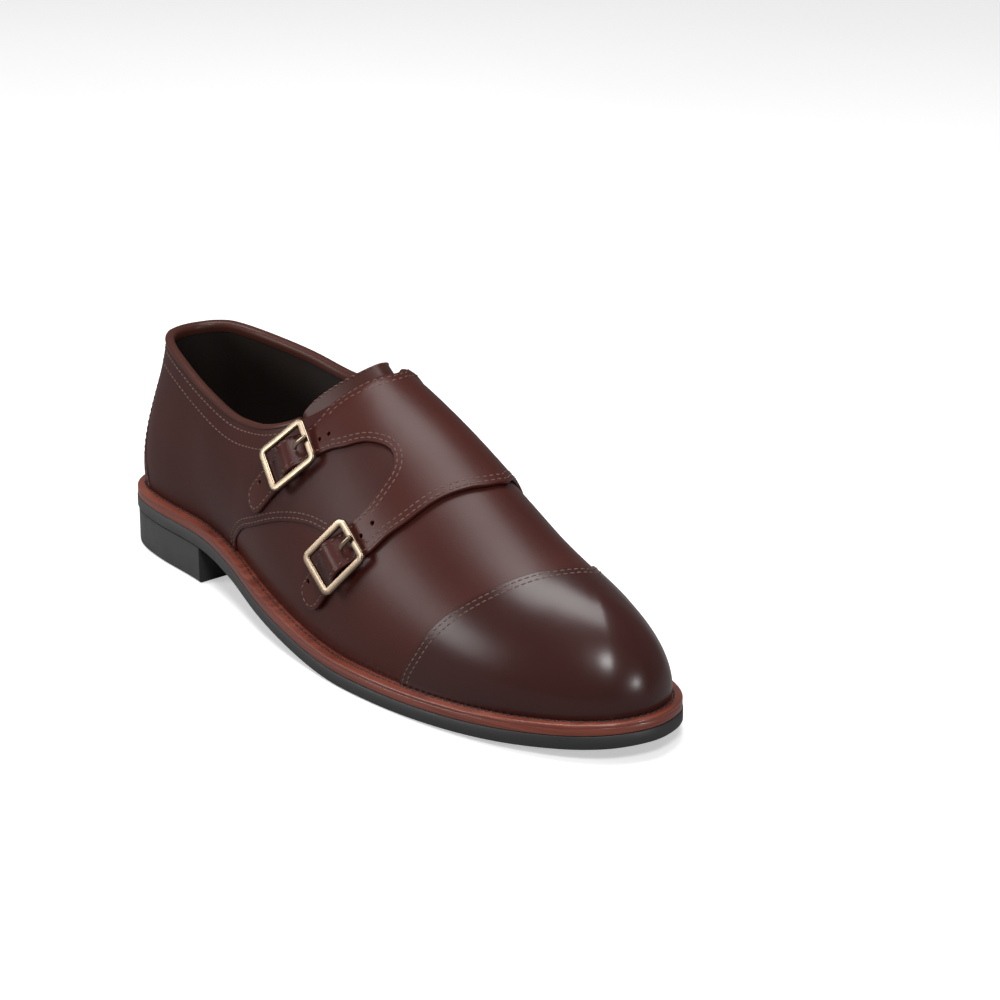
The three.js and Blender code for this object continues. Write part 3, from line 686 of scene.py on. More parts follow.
def inward_turn(ring, flat, is_hole):
    """1 or -1: the side of a ring that the leather lies on."""
    points, normals = press(ring)
    tried = flat(points + np.cross(normals, ring_direction(points)) * 0.3 * MM)
    goes_in = inside(tried, [flat(ring)]).mean() > 0.5
    return 1 if goes_in != is_hole else -1


def edge_of(ring, turn, profile, top, levels):
    """Adds the rings that give an edge its profile, and gives the numbers of their corners."""
    numbers, before, now = [], 0.0, press(ring)[0]
    for distance, height in profile:
        if distance > before:
            now = mitred(shifted(now, distance - before, turn), ring, distance)
            before = distance
        numbers.append(len(top) + np.arange(len(now)))
        top += list(now)
        levels += [height] * len(now)
    return numbers


# %% The middle of a panel


def spots_inside(flat_rings, grid):
    """A plain net of flat spots inside the innermost rings, clear of them."""
    low, high = flat_rings[0].min(0), flat_rings[0].max(0)
    xs, ys = (np.arange(low[k], high[k], grid * MM) for k in (0, 1))
    spots = np.stack(np.meshgrid(xs, ys, indexing="ij"), -1).reshape(-1, 2)
    spots = spots[inside(spots, flat_rings)]
    edge, clear = np.vstack(flat_rings), np.ones(len(spots), bool)
    for part in np.array_split(np.arange(len(spots)), max(1, len(spots) // 500)):
        gap = np.linalg.norm(spots[part, None] - edge[None], axis=2).min(1)
        clear[part] = gap > 0.5 * grid * MM
    return spots[clear]


def cast(chart, spots):
    """Where the rays of flat spots leave the last, from the chart's axis."""
    _, start, aim = chart
    return [LAST.ray_cast(Vector(o), Vector(w))[0] for o, w in zip(start(spots), aim(spots))]


def fill_middle(rings, chart, thick, grid, top, levels):
    """Fills the innermost rings. Gives the faces, and which corners turned out to be the same."""
    inner = [np.array([top[i] for i in numbers[-1]]) for numbers in rings]
    flat_rings = [chart[0](ring) for ring in inner]
    spots = spots_inside(flat_rings, grid)
    middle = [(spot, hit) for spot, hit in zip(spots, cast(chart, spots)) if hit is not None]
    ids = np.concatenate([numbers[-1] for numbers in rings] + [len(top) + np.arange(len(middle))])
    top += [np.array(hit) for spot, hit in middle]
    levels += [thick] * len(middle)
    flat_points = flat_rings + ([np.array([spot for spot, hit in middle])] if middle else [])
    rims, base = [], 0
    for ring in inner:
        rims += [(base + i, base + (i + 1) % len(ring)) for i in range(len(ring))]
        base += len(ring)
    found, _, cells, sources = delaunay_2d_cdt(
        [Vector(p / MM) for p in np.vstack(flat_points)], rims, [], 0, 1e-6)[:4]
    found = np.array([tuple(p) for p in found]) * MM
    names, same = [], {}
    for k, source in enumerate(sources):
        if source:
            names.append(ids[source[0]])
            same.update({ids[other]: ids[source[0]] for other in source})
        else:                                       # a corner where two rims cross
            hit = cast(chart, found[k:k + 1])[0]
            names.append(len(top))
            top.append(np.array(hit) if hit is not None else top[ids[0]])
            levels.append(thick)
    kept = inside(np.array([found[list(cell)].mean(0) for cell in cells]), flat_rings)
    return [tuple(names[i] for i in cell) for cell, ok in zip(cells, kept) if ok], same


# %% A whole panel


def leather_piece(name, outer, chart, material, thick=0.9, under=-0.3, stitches=(), holes=(),
                  lift=None, grid=1.5):
    """A closed panel pressed on to the last. lift gives extra height for points, in metres."""
    top, levels, rings = [], [], []
    loops = [outer] + list(holes)
    turns = [inward_turn(ring, chart[0], ring is not outer) for ring in loops]
    for ring, turn in zip(loops, turns):
        profile = edge_rings(thick, stitches) if ring is outer else [(0, thick * 0.7), (0.2, thick)]
        rings.append(edge_of(ring, turn, profile, top, levels))
    faces = [(low[i], low[(i + 1) % len(low)], high[(i + 1) % len(low)], high[i])
             for numbers in rings for low, high in zip(numbers, numbers[1:]) for i in range(len(low))]
    filled, same = fill_middle(rings, chart, thick, grid, top, levels)
    faces = [tuple(same.get(i, i) for i in f) for f in faces] + filled
    faces = [f for f in (tuple(dict.fromkeys(f)) for f in faces) if len(f) > 2]
    points, normals = press(np.array(top))
    extra = lift(points) if lift is not None else np.zeros(len(points))
    upper = points + normals * (np.array(levels) * MM + extra)[:, None]
    lower = points + normals * (under * MM + extra)[:, None]
    count = len(points)
    solid = faces + [tuple(i + count for i in reversed(f)) for f in faces]
    for rim in (numbers[0] for numbers in rings):
        solid += [(p, p + count, q + count, q) for p, q in zip(rim, np.roll(rim, -1))]
    piece = new_piece(name, np.vstack([upper, lower]), solid, material)
    even_shine(piece, thick, lift)
    tell(piece)
    return piece, turns[0]


def even_shine(piece, thick, lift, height_slack=0.06, least_turn=0.85):
    """Gives a panel's smooth top the normals of the last under it, so that it shines evenly."""
    mesh = piece.data
    spots = np.array([tuple(v.co) for v in mesh.vertices])
    own = np.array([tuple(v.normal) for v in mesh.vertices])
    points, normals = press(spots)
    off = np.linalg.norm(spots - points, axis=1) - thick * MM
    if lift is not None:
        off -= lift(points)
        reach = 0.4 * MM
        side = unit(np.cross(normals, (0.3, 0.2, 0.9)))
        for way in (side, np.cross(normals, side)):
            slope = (lift(points + way * reach) - lift(points - way * reach)) / (2 * reach)
            normals = normals - way * slope[:, None]
        normals = unit(normals)
    calm = (np.abs(off) < height_slack * MM) & (np.sum(own * normals, 1) > least_turn)
    mesh.normals_split_custom_set_from_vertices(np.where(calm[:, None], normals, 0).tolist())


# %% [markdown]
# ## The lasted shell
# The vamp runs all round under the other pieces, with a lining inside it. Both are shells of the
# same shape, one inside the other. Under the strap they are slit open so that a foot can get in.

# %% Vamp and lining
THROAT = 9.3            # the station where the slit under the strap ends
# how far up the last the leather goes at each station
REACH = [(0, 1.0), (7.0, 1.0), (7.35, 0.93), (7.7, 0.8), (8.0, 0.77), (8.6, 0.87), (THROAT, 1.0),
         (TIP, 1.0)]


def net_faces(ids, turned=False):
    a, b, c, d = net_corners(ids)
    return list(zip(d, c, b, a)) if turned else list(zip(a, b, c, d))


def shell(name, outside, thick, material):
    """A closed shell round the last, its outer face at that height (mm)."""
    w = np.linspace(-TIP, TIP, 561)
    t = np.linspace(-0.035, 1, 64)
    reach = np.interp(np.abs(w), *zip(*REACH))
    base = world_of(on_last(w[:, None], t[None, :] * reach[:, None])).reshape(-1, 3)
    points, normals = press(base)
    ids = np.arange(len(points)).reshape(len(w), len(t))
    faces = net_faces(ids) + net_faces(ids + len(points), True)
    open_part = [i for i in range(len(w) - 1) if max(abs(w[i]), abs(w[i + 1])) <= THROAT + 0.03]
    for column, chosen in ((0, range(len(w) - 1)), (len(t) - 1, open_part)):
        for i in chosen:
            p, q = ids[i, column], ids[i + 1, column]
            faces.append((p, q, q + len(points), p + len(points)))
    solid = np.vstack([points + normals * outside * MM, points + normals * (outside - thick) * MM])
    piece = new_piece(name, solid, faces, material)
    tell(piece)
    return piece


pieces = []             # (piece, slot, replaced nodes)
pieces.append((shell("vamp", 0, 1.0, VAMP_CALF), "brown_leather", ["upper"]))
pieces.append((shell("lining", -1.1, 1.1, LINING_CALF), "lining", []))

# %% [markdown]
# ## Toe cap
# The toe cap is laid over the vamp and sewn with two rows. Its back edge bows forwards over the
# ridge. It runs a little into the welt, where the real one is turned under and sewn, and the
# edge that shows is thinned and rounded by hand. Over the round toe a dome is the best chart.

# %% Toe cap
DOUBLE_ROW = (1.5, 3.6)         # how far in from an edge its two rows are sewn (mm)
welt_line = lambda first, last, side: marks(*[(u, side * 1.04) for u in np.linspace(first, last, 24)])
CAP_SEAM = [(10.02, -1.04), (10.1, -0.95), (10.28, -0.854), (10.52, -0.727), (10.88, -0.586),
            (11.41, -0.41), (12.0, -0.226), (12.65, -0.075), (12.62, 0.168), (11.88, 0.36),
            (11.32, 0.531), (10.94, 0.69), (10.77, 0.822), (10.72, 0.934), (10.70, 1.04)]
cap_seam = line(marks(*CAP_SEAM))
cap_loop = loop_of(cap_seam, line(welt_line(10.70, 16, 1)), line(welt_line(16, 10.02, -1)))
toe_cap, cap_turn = leather_piece("toe_cap", cap_loop, dome((245, 2, 8)), CAP_CALF, 0.8,
                                  stitches=DOUBLE_ROW)
pieces.append((toe_cap, "brown_leather", []))

# %% [markdown]
# ## Outer quarter
# The outer quarter wraps the side from the back seam to the strap and shows a curved front edge
# with two rows. It could be drawn as a flat pattern, as a shoemaker does; here its outline is
# marked on the last itself, because then the leather neither stretches nor folds.

# %% Outer quarter
SIDE_COLLAR = [1.3, 1.6, 2, 3, 4, 5, 6, 7, 7.5, 7.9]
QUARTER_FRONT = [(7.9, -0.004), (8.02, -0.04), (8.3, -0.12), (8.8, -0.22), (9.15, -0.34), (9.18, -0.46),
                 (8.95, -0.575), (8.6, -0.64), (8.28, -0.65), (7.84, -0.657), (7.31, -0.625),
                 (6.69, -0.671), (6.37, -0.742), (6.12, -0.86), (6.03, -0.933), (5.95, -1.04)]
HEEL_LINE = [(1.3, 0.004), (1.5, 0.25), (1.75, 0.5), (2.0, 0.75), (2.3, 1.04)]
quarter_front = line(marks(*QUARTER_FRONT))
quarter_loop = loop_of(line(marks(*[(u, -0.004) for u in SIDE_COLLAR])), quarter_front,
                       line(welt_line(5.95, 2.3, -1)), line(marks(*[(u, -c) for u, c in HEEL_LINE[::-1]])))
outer_quarter, quarter_turn = leather_piece("outer_quarter", quarter_loop, tube(), QUARTER_CALF, 0.75,
                                            stitches=DOUBLE_ROW)
pieces.append((outer_quarter, "brown_leather", []))

# %% [markdown]
# ## Heel stay
# A strip over the back seam takes the strain of the heel. It narrows upwards and goes over both
# quarters, so it is made a little thicker than they are, on a chart rolled round the heel.

# %% Heel stay
STAY = [(1.6, 0.004), (2.0, 0.25), (2.35, 0.5), (2.76, 0.758), (3.08, 0.878), (3.3, 1.04)]
stay_side = line(marks(*STAY))
stay_loop = loop_of(line(np.vstack([marks(*[(u, -0.004) for u in (1.6, 1.2, 0.8, 0.4, 0.1)]),
                                    marks(*[(u, 0.004) for u in (0.1, 0.4, 0.8, 1.2, 1.6)])])),
                    stay_side,
                    line(np.vstack([welt_line(3.3, 0.05, 1), welt_line(0.05, 3.3, -1)])),
                    line(marks(*[(u, -c) for u, c in STAY[::-1]])))
heel_stay, stay_turn = leather_piece("heel_stay", stay_loop, roll(), QUARTER_CALF, 1.15, stitches=(1.6,))
pieces.append((heel_stay, "brown_leather", []))

# %% [markdown]
# ## Inner quarter and monk strap
# On this shoe the inner quarter, the flap over the instep and both tails are cut as one piece.
# The flap lies flat on the inner side, lifts over the instep and splits in two tails on the
# outer side. Each tail humps over the hidden bar of its buckle, and has punched holes.

# %% Where the buckles sit
BUCKLES = {
    "rear": dict(at=(135.2, -30.6, 73.2), along=(0.62, 0.40, 0.67), facing=(0.08, -0.885, 0.46),
                 upper=14, lower=9, tip=-34),
    "front": dict(at=(175.4, -39.2, 46.9), along=(0.55, 0.38, 0.74), facing=(0.17, -0.925, 0.34),
                  upper=13, lower=7, tip=-29.5),
}
STRAP_THICK, STRAP_LIFT, TAIL_HALF, TAIL_ROUND = 1.6, 0.9, 6.7, 7.0
BAR_BACK = 1.0                  # how far the hidden bar is behind the buckle's middle
HUMP_HEIGHT, HUMP_REACH, HUMP_MARGIN, HUMP_DEPTH = 4.0, 9.5, 2, 15


def buckle_axes(buckle):
    """The buckle's place, and its along, across and facing directions."""
    facing = unit(np.array(buckle["facing"], float))
    along = np.array(buckle["along"], float)
    along = unit(along - facing * along.dot(facing))
    return world_of(np.array(buckle["at"], float)), along, np.cross(facing, along), facing


def in_buckle(buckle, places):
    at, along, across, facing = buckle_axes(buckle)
    return np.array([at + (along * x + across * y) * MM for x, y in places])


def tail_edge(buckle):
    """Down one side of a tail, round its end and back up the other side."""
    shoulder = buckle["tip"] + TAIL_ROUND
    side = [(x, TAIL_HALF) for x in np.linspace(buckle["upper"], shoulder, 9)]
    back = [(x, -TAIL_HALF) for x in np.linspace(shoulder, buckle["lower"], 8)]
    end = [(shoulder - TAIL_ROUND * math.sin(a), TAIL_HALF * math.cos(a))
           for a in np.linspace(0.25, math.pi - 0.25, 9)]
    return in_buckle(buckle, side + end + back)


def strap_lift(points):
    """How far the strap stands off the last: little where it is sewn, more over the instep."""
    x, y = points[:, 0] / MM - SHIFT[0], points[:, 1] / MM - SHIFT[1]
    free = smooth((32 - y) / 22) * smooth((x - 95) / 30)
    lift = -0.75 + (0.75 + STRAP_LIFT) * free
    for buckle in BUCKLES.values():
        at, *ways = buckle_axes(buckle)
        dx, dy, off = ((points - at) @ way / MM for way in ways)
        t = np.clip(np.abs(dx + BAR_BACK) / HUMP_REACH, 0, 1)
        near = (np.abs(dy) < TAIL_HALF + HUMP_MARGIN) * (np.abs(off) < HUMP_DEPTH)
        lift += HUMP_HEIGHT * (0.5 + 0.5 * np.cos(math.pi * t)) * near
    return lift * MM


# %% The strap's outline
FLAP_REAR = [(7.15, 0.004), (7.4, 0.006), (7.65, 0.010), (7.88, 0.012), (8.02, 0.004), (8.02, -0.012),
             (7.9, -0.028), (7.75, -0.036), (7.6, -0.044), (7.5, -0.062), (7.46, -0.105)]
NOTCH = [(7.9, -0.408), (8.11, -0.388), (8.41, -0.318), (8.72, -0.281), (8.91, -0.289), (9.0, -0.333),
         (8.97, -0.408), (8.89, -0.491)]
FLAP_FRONT = [(9.19, -0.60), (9.38, -0.518), (9.58, -0.437), (9.86, -0.286), (10.14, -0.151),
              (10.30, -0.075), (10.4, 0.0), (10.35, 0.091), (10.08, 0.209), (9.84, 0.318),
              (9.63, 0.441), (9.42, 0.552), (9.24, 0.641)]
INNER_SEAM = [(9.24, 0.641), (8.94, 0.638), (8.54, 0.644), (8.10, 0.67), (7.61, 0.673), (7.13, 0.691),
              (6.6, 0.74), (6.25, 0.82), (6.0, 0.93), (5.9, 1.04)]
inner_collar = marks(*[(u, 0.004) for u in (1.3, 1.6, 2, 3, 4, 5, 6, 6.7)])
rear_tail, front_tail = tail_edge(BUCKLES["rear"]), tail_edge(BUCKLES["front"])
strap_edge = line(np.vstack([inner_collar, marks(*FLAP_REAR), rear_tail, marks(*NOTCH), front_tail,
                             marks(*FLAP_FRONT)]))
inner_seam = line(marks(*INNER_SEAM))
strap_loop = loop_of(strap_edge, inner_seam, line(welt_line(5.9, 2.3, 1)), line(marks(*HEEL_LINE[::-1])))

# %% Holes, and the strap itself


def hole_at(point, radius=0.85):
    """A punched hole's ring on the last, radius in mm."""
    centre, normal = press(point[None])
    side = unit(np.cross(normal[0], (0, 0, 1.0)))
    other = np.cross(normal[0], side)
    ring = [centre[0] + (side * math.cos(a) + other * math.sin(a)) * radius * MM
            for a in np.linspace(0, 2 * math.pi, 16, endpoint=False)]
    return press(np.array(ring))[0]


holes = [hole_at(p) for p in marks((7.73, -0.323), (7.62, -0.321), (6.81, -0.381),
                                   (9.08, -0.517), (8.97, -0.574), (8.18, -0.812))]
strap, strap_turn = leather_piece("inner_quarter_and_strap", strap_loop, tube(), STRAP_CALF, STRAP_THICK,
                                  under=0.0, stitches=(1.5,), holes=holes, lift=strap_lift, grid=0.9)
pieces.append((strap, "strap_leather", ["monk_strap"]))

# %% [markdown]
# ## Tongue
# The tongue is a padded tab under the flap whose free end stands up behind it. It could be bent
# from a flat tab with a curve, but its sides have to follow the collar, so it is laid out as rows
# of a net: first over the last, then up from the collar line. Thickness is given at the end.

# %% Where the tongue lies
TONGUE_ROWS = [  # station at the middle, how much nearer the heel at the sides, half width
    (10.4, 0, 0.17), (10.0, 0, 0.18), (9.6, 0, 0.19), (9.2, 0.08, 0.19), (8.8, 0.2, 0.18),
    (8.5, 0.42, 0.145), (8.22, 0.66, 0.08)]
TONGUE_DEPTH, TONGUE_THICK, TONGUE_FREE, TONGUE_REACH = WALL + 1.1, 2.0, 10.5, 0.9
TONGUE_RISE = np.array([-0.8, 0, 0.6])


def tongue_net():
    """Places down the tongue, and the normals there: under the flap, then its free end."""
    q = np.linspace(-1, 1, 61)
    lines, normals = [], []
    for station, back, half in TONGUE_ROWS:
        c = np.where(q < 0, np.minimum(q * half, -1e-6), q * half)
        for found, kept in zip(press(place(station - back * q * q, c)), (lines, normals)):
            kept.append(found)
    side = np.where(q < 0, -1, 1)
    edge = world_of(top_at(side * (PEAK - TONGUE_REACH * np.abs(q))))
    ridge_normal = press(marks((PEAK + 0.3, 0.0)))[1][0]
    flanks = [press(marks((PEAK - TONGUE_REACH, s * 0.05)))[1][0] for s in (-1, 1)]
    flank = np.where((q < 0)[:, None], flanks[0], flanks[1])
    normal = unit(ridge_normal + (flank - ridge_normal) * (q * q)[:, None])
    for free in (0, 0.3, 0.6, 0.85, 1.0):
        rise = TONGUE_RISE * free * TONGUE_FREE * (1 - 0.7 * q ** 4)[:, None] * MM
        lines.append(edge + rise)
        normals.append(normal)
    t, shape = np.linspace(0, 1, 70), (70, len(q), 3)
    lines, normals = (through(np.reshape(x, (len(x), -1)), t, False).reshape(shape)
                      for x in (lines, normals))
    return lines, unit(normals)


# %% Tongue
tongue_rows, tongue_normals = tongue_net()
count = tongue_rows.shape[0] * tongue_rows.shape[1]
tongue_ids = np.arange(count).reshape(tongue_rows.shape[:2])
# the padding thins towards the edges, so that they are round
to_side = 1 - np.abs(np.linspace(-1, 1, tongue_rows.shape[1]))
to_end = np.linspace(1, 0, len(tongue_rows))
from_edge = np.minimum(to_side[None] / 0.09, to_end[:, None] / 0.05).clip(0, 1)
plump = np.sqrt(np.clip(1 - (1 - from_edge) ** 2, 0.02, 1))
half = (TONGUE_THICK / 2 * MM * plump)[..., None]
core = tongue_rows - tongue_normals * (TONGUE_DEPTH + TONGUE_THICK / 2) * MM
solid = np.vstack([(core + tongue_normals * way * half).reshape(-1, 3) for way in (1, -1)])
faces = net_faces(tongue_ids) + net_faces(tongue_ids + count, True)
rim = [*tongue_ids[0], *tongue_ids[1:, -1], *tongue_ids[-1, -2::-1], *tongue_ids[-2:0:-1, 0]]
faces += [(p, p + count, q + count, q) for p, q in zip(rim, rim[1:] + rim[:1])]
tongue = new_piece("tongue_leather", solid, faces, TONGUE_CALF)
pieces.append((tongue, "brown_leather", ["tongue"]))
tell(tongue)

# %% [markdown]
# ## Collar binding
# A narrow strip is folded over the collar's raw edge and sewn through. It has one section all
# the way, so the section is drawn once and carried along the collar line. A bevelled curve
# would do the same, but it may twist; here each section is set by the collar's own directions.

# %% Collar binding
BINDING = [(1.05, -1.5), (1.22, -0.9), (1.2, -0.2), (0.9, 0.35), (0.3, 0.65), (-0.9, 0.7), (-1.9, 0.4),
           (-2.6, -0.3), (-2.85, -1.8), (-2.7, -3.4), (-2.3, -3.2), (-2.2, -0.9), (-1.4, -0.35),
           (0.2, -0.35), (0.6, -0.7), (0.7, -1.4)]


def swept(name, middle, outwards, up, section, material):
    """A closed strip: the section's (outwards, up) points in mm, carried along a line."""
    section = np.array(section)
    points = (middle[:, None] + outwards[:, None] * section[None, :, :1] * MM
              + up[:, None] * section[None, :, 1:] * MM)
    m, n = points.shape[:2]
    ids = np.arange(m * n).reshape(m, n)
    faces = net_faces(np.hstack([ids, ids[:, :1]]))
    faces += [tuple(ids[0]), tuple(ids[-1][::-1])]
    return new_piece(name, points.reshape(-1, 3), faces, material, 60)


w = np.linspace(-7.12, 7.35, 420)
collar_line = world_of(top_at(w))
tangent = unit(np.gradient(collar_line, axis=0))
below = world_of(on_last(w, 0.93))
collar_up = unit(collar_line - below)
collar_up = unit(collar_up - tangent * np.sum(collar_up * tangent, 1, keepdims=True))
collar_out = np.cross(collar_up, tangent)
if np.sum(collar_out * press(below)[1]) < 0:
    collar_out = -collar_out
binding = swept("collar_binding", collar_line, collar_out, collar_up, BINDING, BINDING_CALF)
pieces.append((binding, "brown_leather", []))
tell(binding)

# %% [markdown]
# ## Stitches
# One stitch is a grain of thread lying in the leather with its ends pulled down. It is modelled
# once and copied, each copy turned along its seam. A seam is the piece's outline moved
# inwards, cut to the part that is sewn.

# %% One stitch
clear_choice()
bpy.ops.mesh.primitive_uv_sphere_add(segments=6, ring_count=5, radius=1)
grain = bpy.context.object
STITCH = np.array([tuple(v.co) for v in grain.data.vertices])[:, [2, 0, 1]]
STITCH_FACES = [tuple(f.vertices) for f in grain.data.polygons]
bpy.data.objects.remove(grain)


def between(ring, first, last):
    """The part of a closed ring from the point nearest first on to the one nearest last."""
    i, j = (int(np.argmin(np.linalg.norm(ring - p, axis=1))) for p in (first, last))
    return ring[i:j + 1] if i <= j else np.vstack([ring[i:], ring[:j + 1]])


def sewn(name, runs, material=THREAD, slot="brown_leather", size=(1.05, 0.34, 0.32), pitch=2.6):
    """One object with the stitches of some runs: (line, what gives places and normals on it)."""
    points, faces = [], []
    for run, settle in runs:
        run = resample(run, pitch)
        base, normal = settle((run[:-1] + run[1:]) / 2)
        ahead = run[1:] - run[:-1]
        ahead = unit(ahead - normal * np.sum(ahead * normal, 1, keepdims=True))
        aside = np.cross(normal, ahead)
        for k in range(len(base)):
            one = (ahead[k] * STITCH[:, :1] * size[0] + aside[k] * STITCH[:, 1:2] * size[1]
                   + normal[k] * (STITCH[:, 2:] - 0.35 * STITCH[:, :1] ** 2) * size[2])
            faces += [tuple(i + len(points) * len(STITCH) for i in f) for f in STITCH_FACES]
            points.append(base[k] + one * MM)
    pieces.append((new_piece(name, np.vstack(points), faces, material, 80), slot, []))
    print(name, len(points), "stitches")


def on_leather(height, lift=None):
    """Places on a panel of that height (mm), with its extra lift."""
    def settle(middle):
        places, normal = press(middle)
        extra = lift(places)[:, None] if lift is not None else 0
        return places + normal * (height * MM + extra), normal
    return settle


def stitched(name, seams, pitch=2.6):
    sewn(name, [(run, on_leather(height, lift)) for run, height, lift in seams], pitch=pitch)


# %% [markdown]
# ## The seams
# The shoemaker sews two rows side by side where a piece takes strain, and one where it's only
# trimmed. The thread lies in the shallow trough that each piece already has, a little below
# the top of the leather.

# %% Seams on the lasted pieces
# how high the thread lies on each piece, and how far in from its edge (mm)
CAP_SEAM_TOP, QUARTER_SEAM_TOP, COLLAR_SEAM_TOP, STAY_SEAM_TOP = 0.72, 0.67, 0.72, 1.08
STRAP_SEAM_TOP = STRAP_THICK - 0.06
COLLAR_ROWS, STRAP_ROWS, NOTCH_ROWS = (3.9, 9.5), (1.5, 3.7), (1.5, 3.4)


def rows_on(loop, turn, first, last, distances):
    """Rows at some distances (mm) in from a piece's outline, from one mark to another."""
    return [between(mitred(shifted(loop, d, turn), loop, d), *marks(first, last)) for d in distances]


cap_rows = rows_on(cap_loop, cap_turn, (10.05, -0.985), (10.74, 0.985), DOUBLE_ROW)
stitched("cap_stitches", [(r, CAP_SEAM_TOP, None) for r in cap_rows])
quarter_rows = rows_on(quarter_loop, quarter_turn, (8.28, -0.65), (6.0, -0.985), DOUBLE_ROW)
stitched("quarter_stitches", [(r, QUARTER_SEAM_TOP, None) for r in quarter_rows])
outer_collar = rows_on(quarter_loop, quarter_turn, (2.2, -0.004), (7.1, -0.004), COLLAR_ROWS)
inner_collar_rows = rows_on(strap_loop, strap_turn, (2.2, 0.004), (7.4, 0.004), COLLAR_ROWS)
stitched("collar_stitches", [(r, COLLAR_SEAM_TOP, None) for r in outer_collar]
         + [(r, STRAP_SEAM_TOP, strap_lift) for r in inner_collar_rows])
stay_rows = [between(shifted(stay_loop, 1.6, stay_turn), *marks(*ends))
             for ends in (((1.6, 0.04), (3.25, 0.985)), ((3.25, -0.985), (1.6, -0.04)))]
stitched("stay_stitches", [(r, STAY_SEAM_TOP, None) for r in stay_rows])

# %% Seams on the strap
flap_rear = rows_on(strap_loop, strap_turn, FLAP_REAR[1], FLAP_REAR[-1], STRAP_ROWS)
tail_single = [run for first, last in ((FLAP_REAR[-1], NOTCH[0]), (NOTCH[-1], FLAP_FRONT[0]))
               for run in rows_on(strap_loop, strap_turn, first, last, (1.5,))]
notch_rows = rows_on(strap_loop, strap_turn, NOTCH[0], NOTCH[-1], NOTCH_ROWS)
front_rows = rows_on(strap_loop, strap_turn, FLAP_FRONT[0], INNER_SEAM[0], STRAP_ROWS)
inner_rows = rows_on(strap_loop, strap_turn, INNER_SEAM[0], (5.95, 0.985), STRAP_ROWS)
stitched("strap_stitches", [(r, STRAP_SEAM_TOP, strap_lift) for r in
                            flap_rear + tail_single + notch_rows + front_rows + inner_rows])

# %% The tongue's row and the bar tack
tongue_row = len(tongue_rows) - 5
tongue_top = (core + tongue_normals * half)[tongue_row]
sewn("tongue_stitches", [(tongue_top[6:-6], lambda middle: (middle, np.array(
    [tongue_normals[tongue_row][np.argmin(((tongue_top - p) ** 2).sum(1))] for p in middle])))])
tack = [line(marks((9.01 + k, 0.535 + k * 0.03), (9.25 + k, 0.541 + k * 0.03))) for k in (0, 0.045)]
stitched("bar_tack", [(r, STRAP_SEAM_TOP, strap_lift) for r in tack], pitch=2.0)

# %% [markdown]
# ## The sole
# Heel, outsole and midsole are cut to one outline, stacked and trimmed together, and then the
# edges are rounded over. Each is made as a stack of outlines that step in and out to give the
# edge its shape, closed above and below by strips laid across the foot.

# %% Sole layers


def sole_layer(name, profile, material, first=0.0, last=TIP, count=180, columns=8):
    """profile: (inset in mm, height for an array of x) from the bottom edge to the top edge."""
    even = np.linspace(0, 1, count)
    u = first + (last - first) * (even + (1 - np.cos(np.pi * even)) / 2) / 2
    t = np.linspace(0, 1, columns + 1)[None, :, None]
    levels = []
    for inset, height in profile:
        outer, inner = outline_at(-u, inset)[0], outline_at(u, inset)[0]
        flat = outer[:, None] * (1 - t) + inner[:, None] * t
        levels.append(world_of(np.concatenate([flat, height(flat[..., 0])[..., None]], -1)))
    size = count * (columns + 1)
    ids = np.arange(size).reshape(count, columns + 1)
    faces = net_faces(ids, True) + net_faces(ids + size * (len(levels) - 1))
    for k in range(len(levels) - 1):
        low, high = ids + size * k, ids + size * (k + 1)
        for column in (0, columns):
            faces += [(low[i, column], low[i + 1, column], high[i + 1, column], high[i, column])
                      for i in range(count - 1)]
        for row in ([0] if first > 0 else []) + ([count - 1] if last < TIP else []):
            faces += [(low[row, j], low[row, j + 1], high[row, j + 1], high[row, j])
                      for j in range(columns)]
    points = np.vstack([level.reshape(-1, 3) for level in levels])
    piece = new_piece(name, points, faces, material, 50)
    tell(piece)
    return piece


def station_of(x):
    u = np.linspace(0, TIP, 8001)
    return float(np.interp(x, through(OUTLINE, wrap(u), True)[:, 0], u))


over_sole = lambda extra: (lambda x: sole_bottom(x) + extra)
level = lambda z: (lambda x: np.full(np.shape(x), float(z)))
heel_profile = [(1.2, level(0)), (0.65, level(0.5)), (0.5, level(1.2)), (0.5, level(HEEL_STACK - 0.6)),
                (0.6, level(HEEL_STACK - GAP))]
heel = sole_layer("heel_block", heel_profile, RUBBER, last=station_of(HEEL_BREAST), count=90)
outsole = sole_layer("outsole_rubber", [(1.0, over_sole(0)), (0.3, over_sole(0.3)), (0, over_sole(0.9)),
                                        (0, over_sole(OUTSOLE - 0.35)), (0.3, over_sole(OUTSOLE))], RUBBER)
base, height = OUTSOLE + GAP, MIDSOLE - GAP
midsole = sole_layer("midsole_and_welt", [
    (0.9, over_sole(base - 0.25)), (0.3, over_sole(base)), (0.25, over_sole(base + 0.2)),
    (0.25, over_sole(base + 0.60 * height)), (0.36, over_sole(base + 0.63 * height)),
    (0.25, over_sole(base + 0.66 * height)), (0.25, over_sole(base + 0.84 * height)),
    (0.5, over_sole(base + 0.95 * height)), (1.0, over_sole(base + height))], EDGE_STAIN)
insole_at = OUTSOLE + MIDSOLE + GAP
insole = sole_layer("sock_lining", [(8.2, over_sole(insole_at)), (7.9, over_sole(insole_at + 2.4)),
                                    (8.4, over_sole(insole_at + 3.0))], LINING_CALF)
for piece, slot, node in ((heel, "black_rubber", "heel"), (outsole, "black_rubber", "outsole"),
                          (midsole, "red_midsole", "midsole"), (insole, "lining", "insole")):
    pieces.append((piece, slot, [node]))

# %% [markdown]
# ## Welt stitches
# The welt is sewn to the sole all round with a thick dark thread. The run is the outline, moved
# in from the edge; the stitches lie flat on the welt.

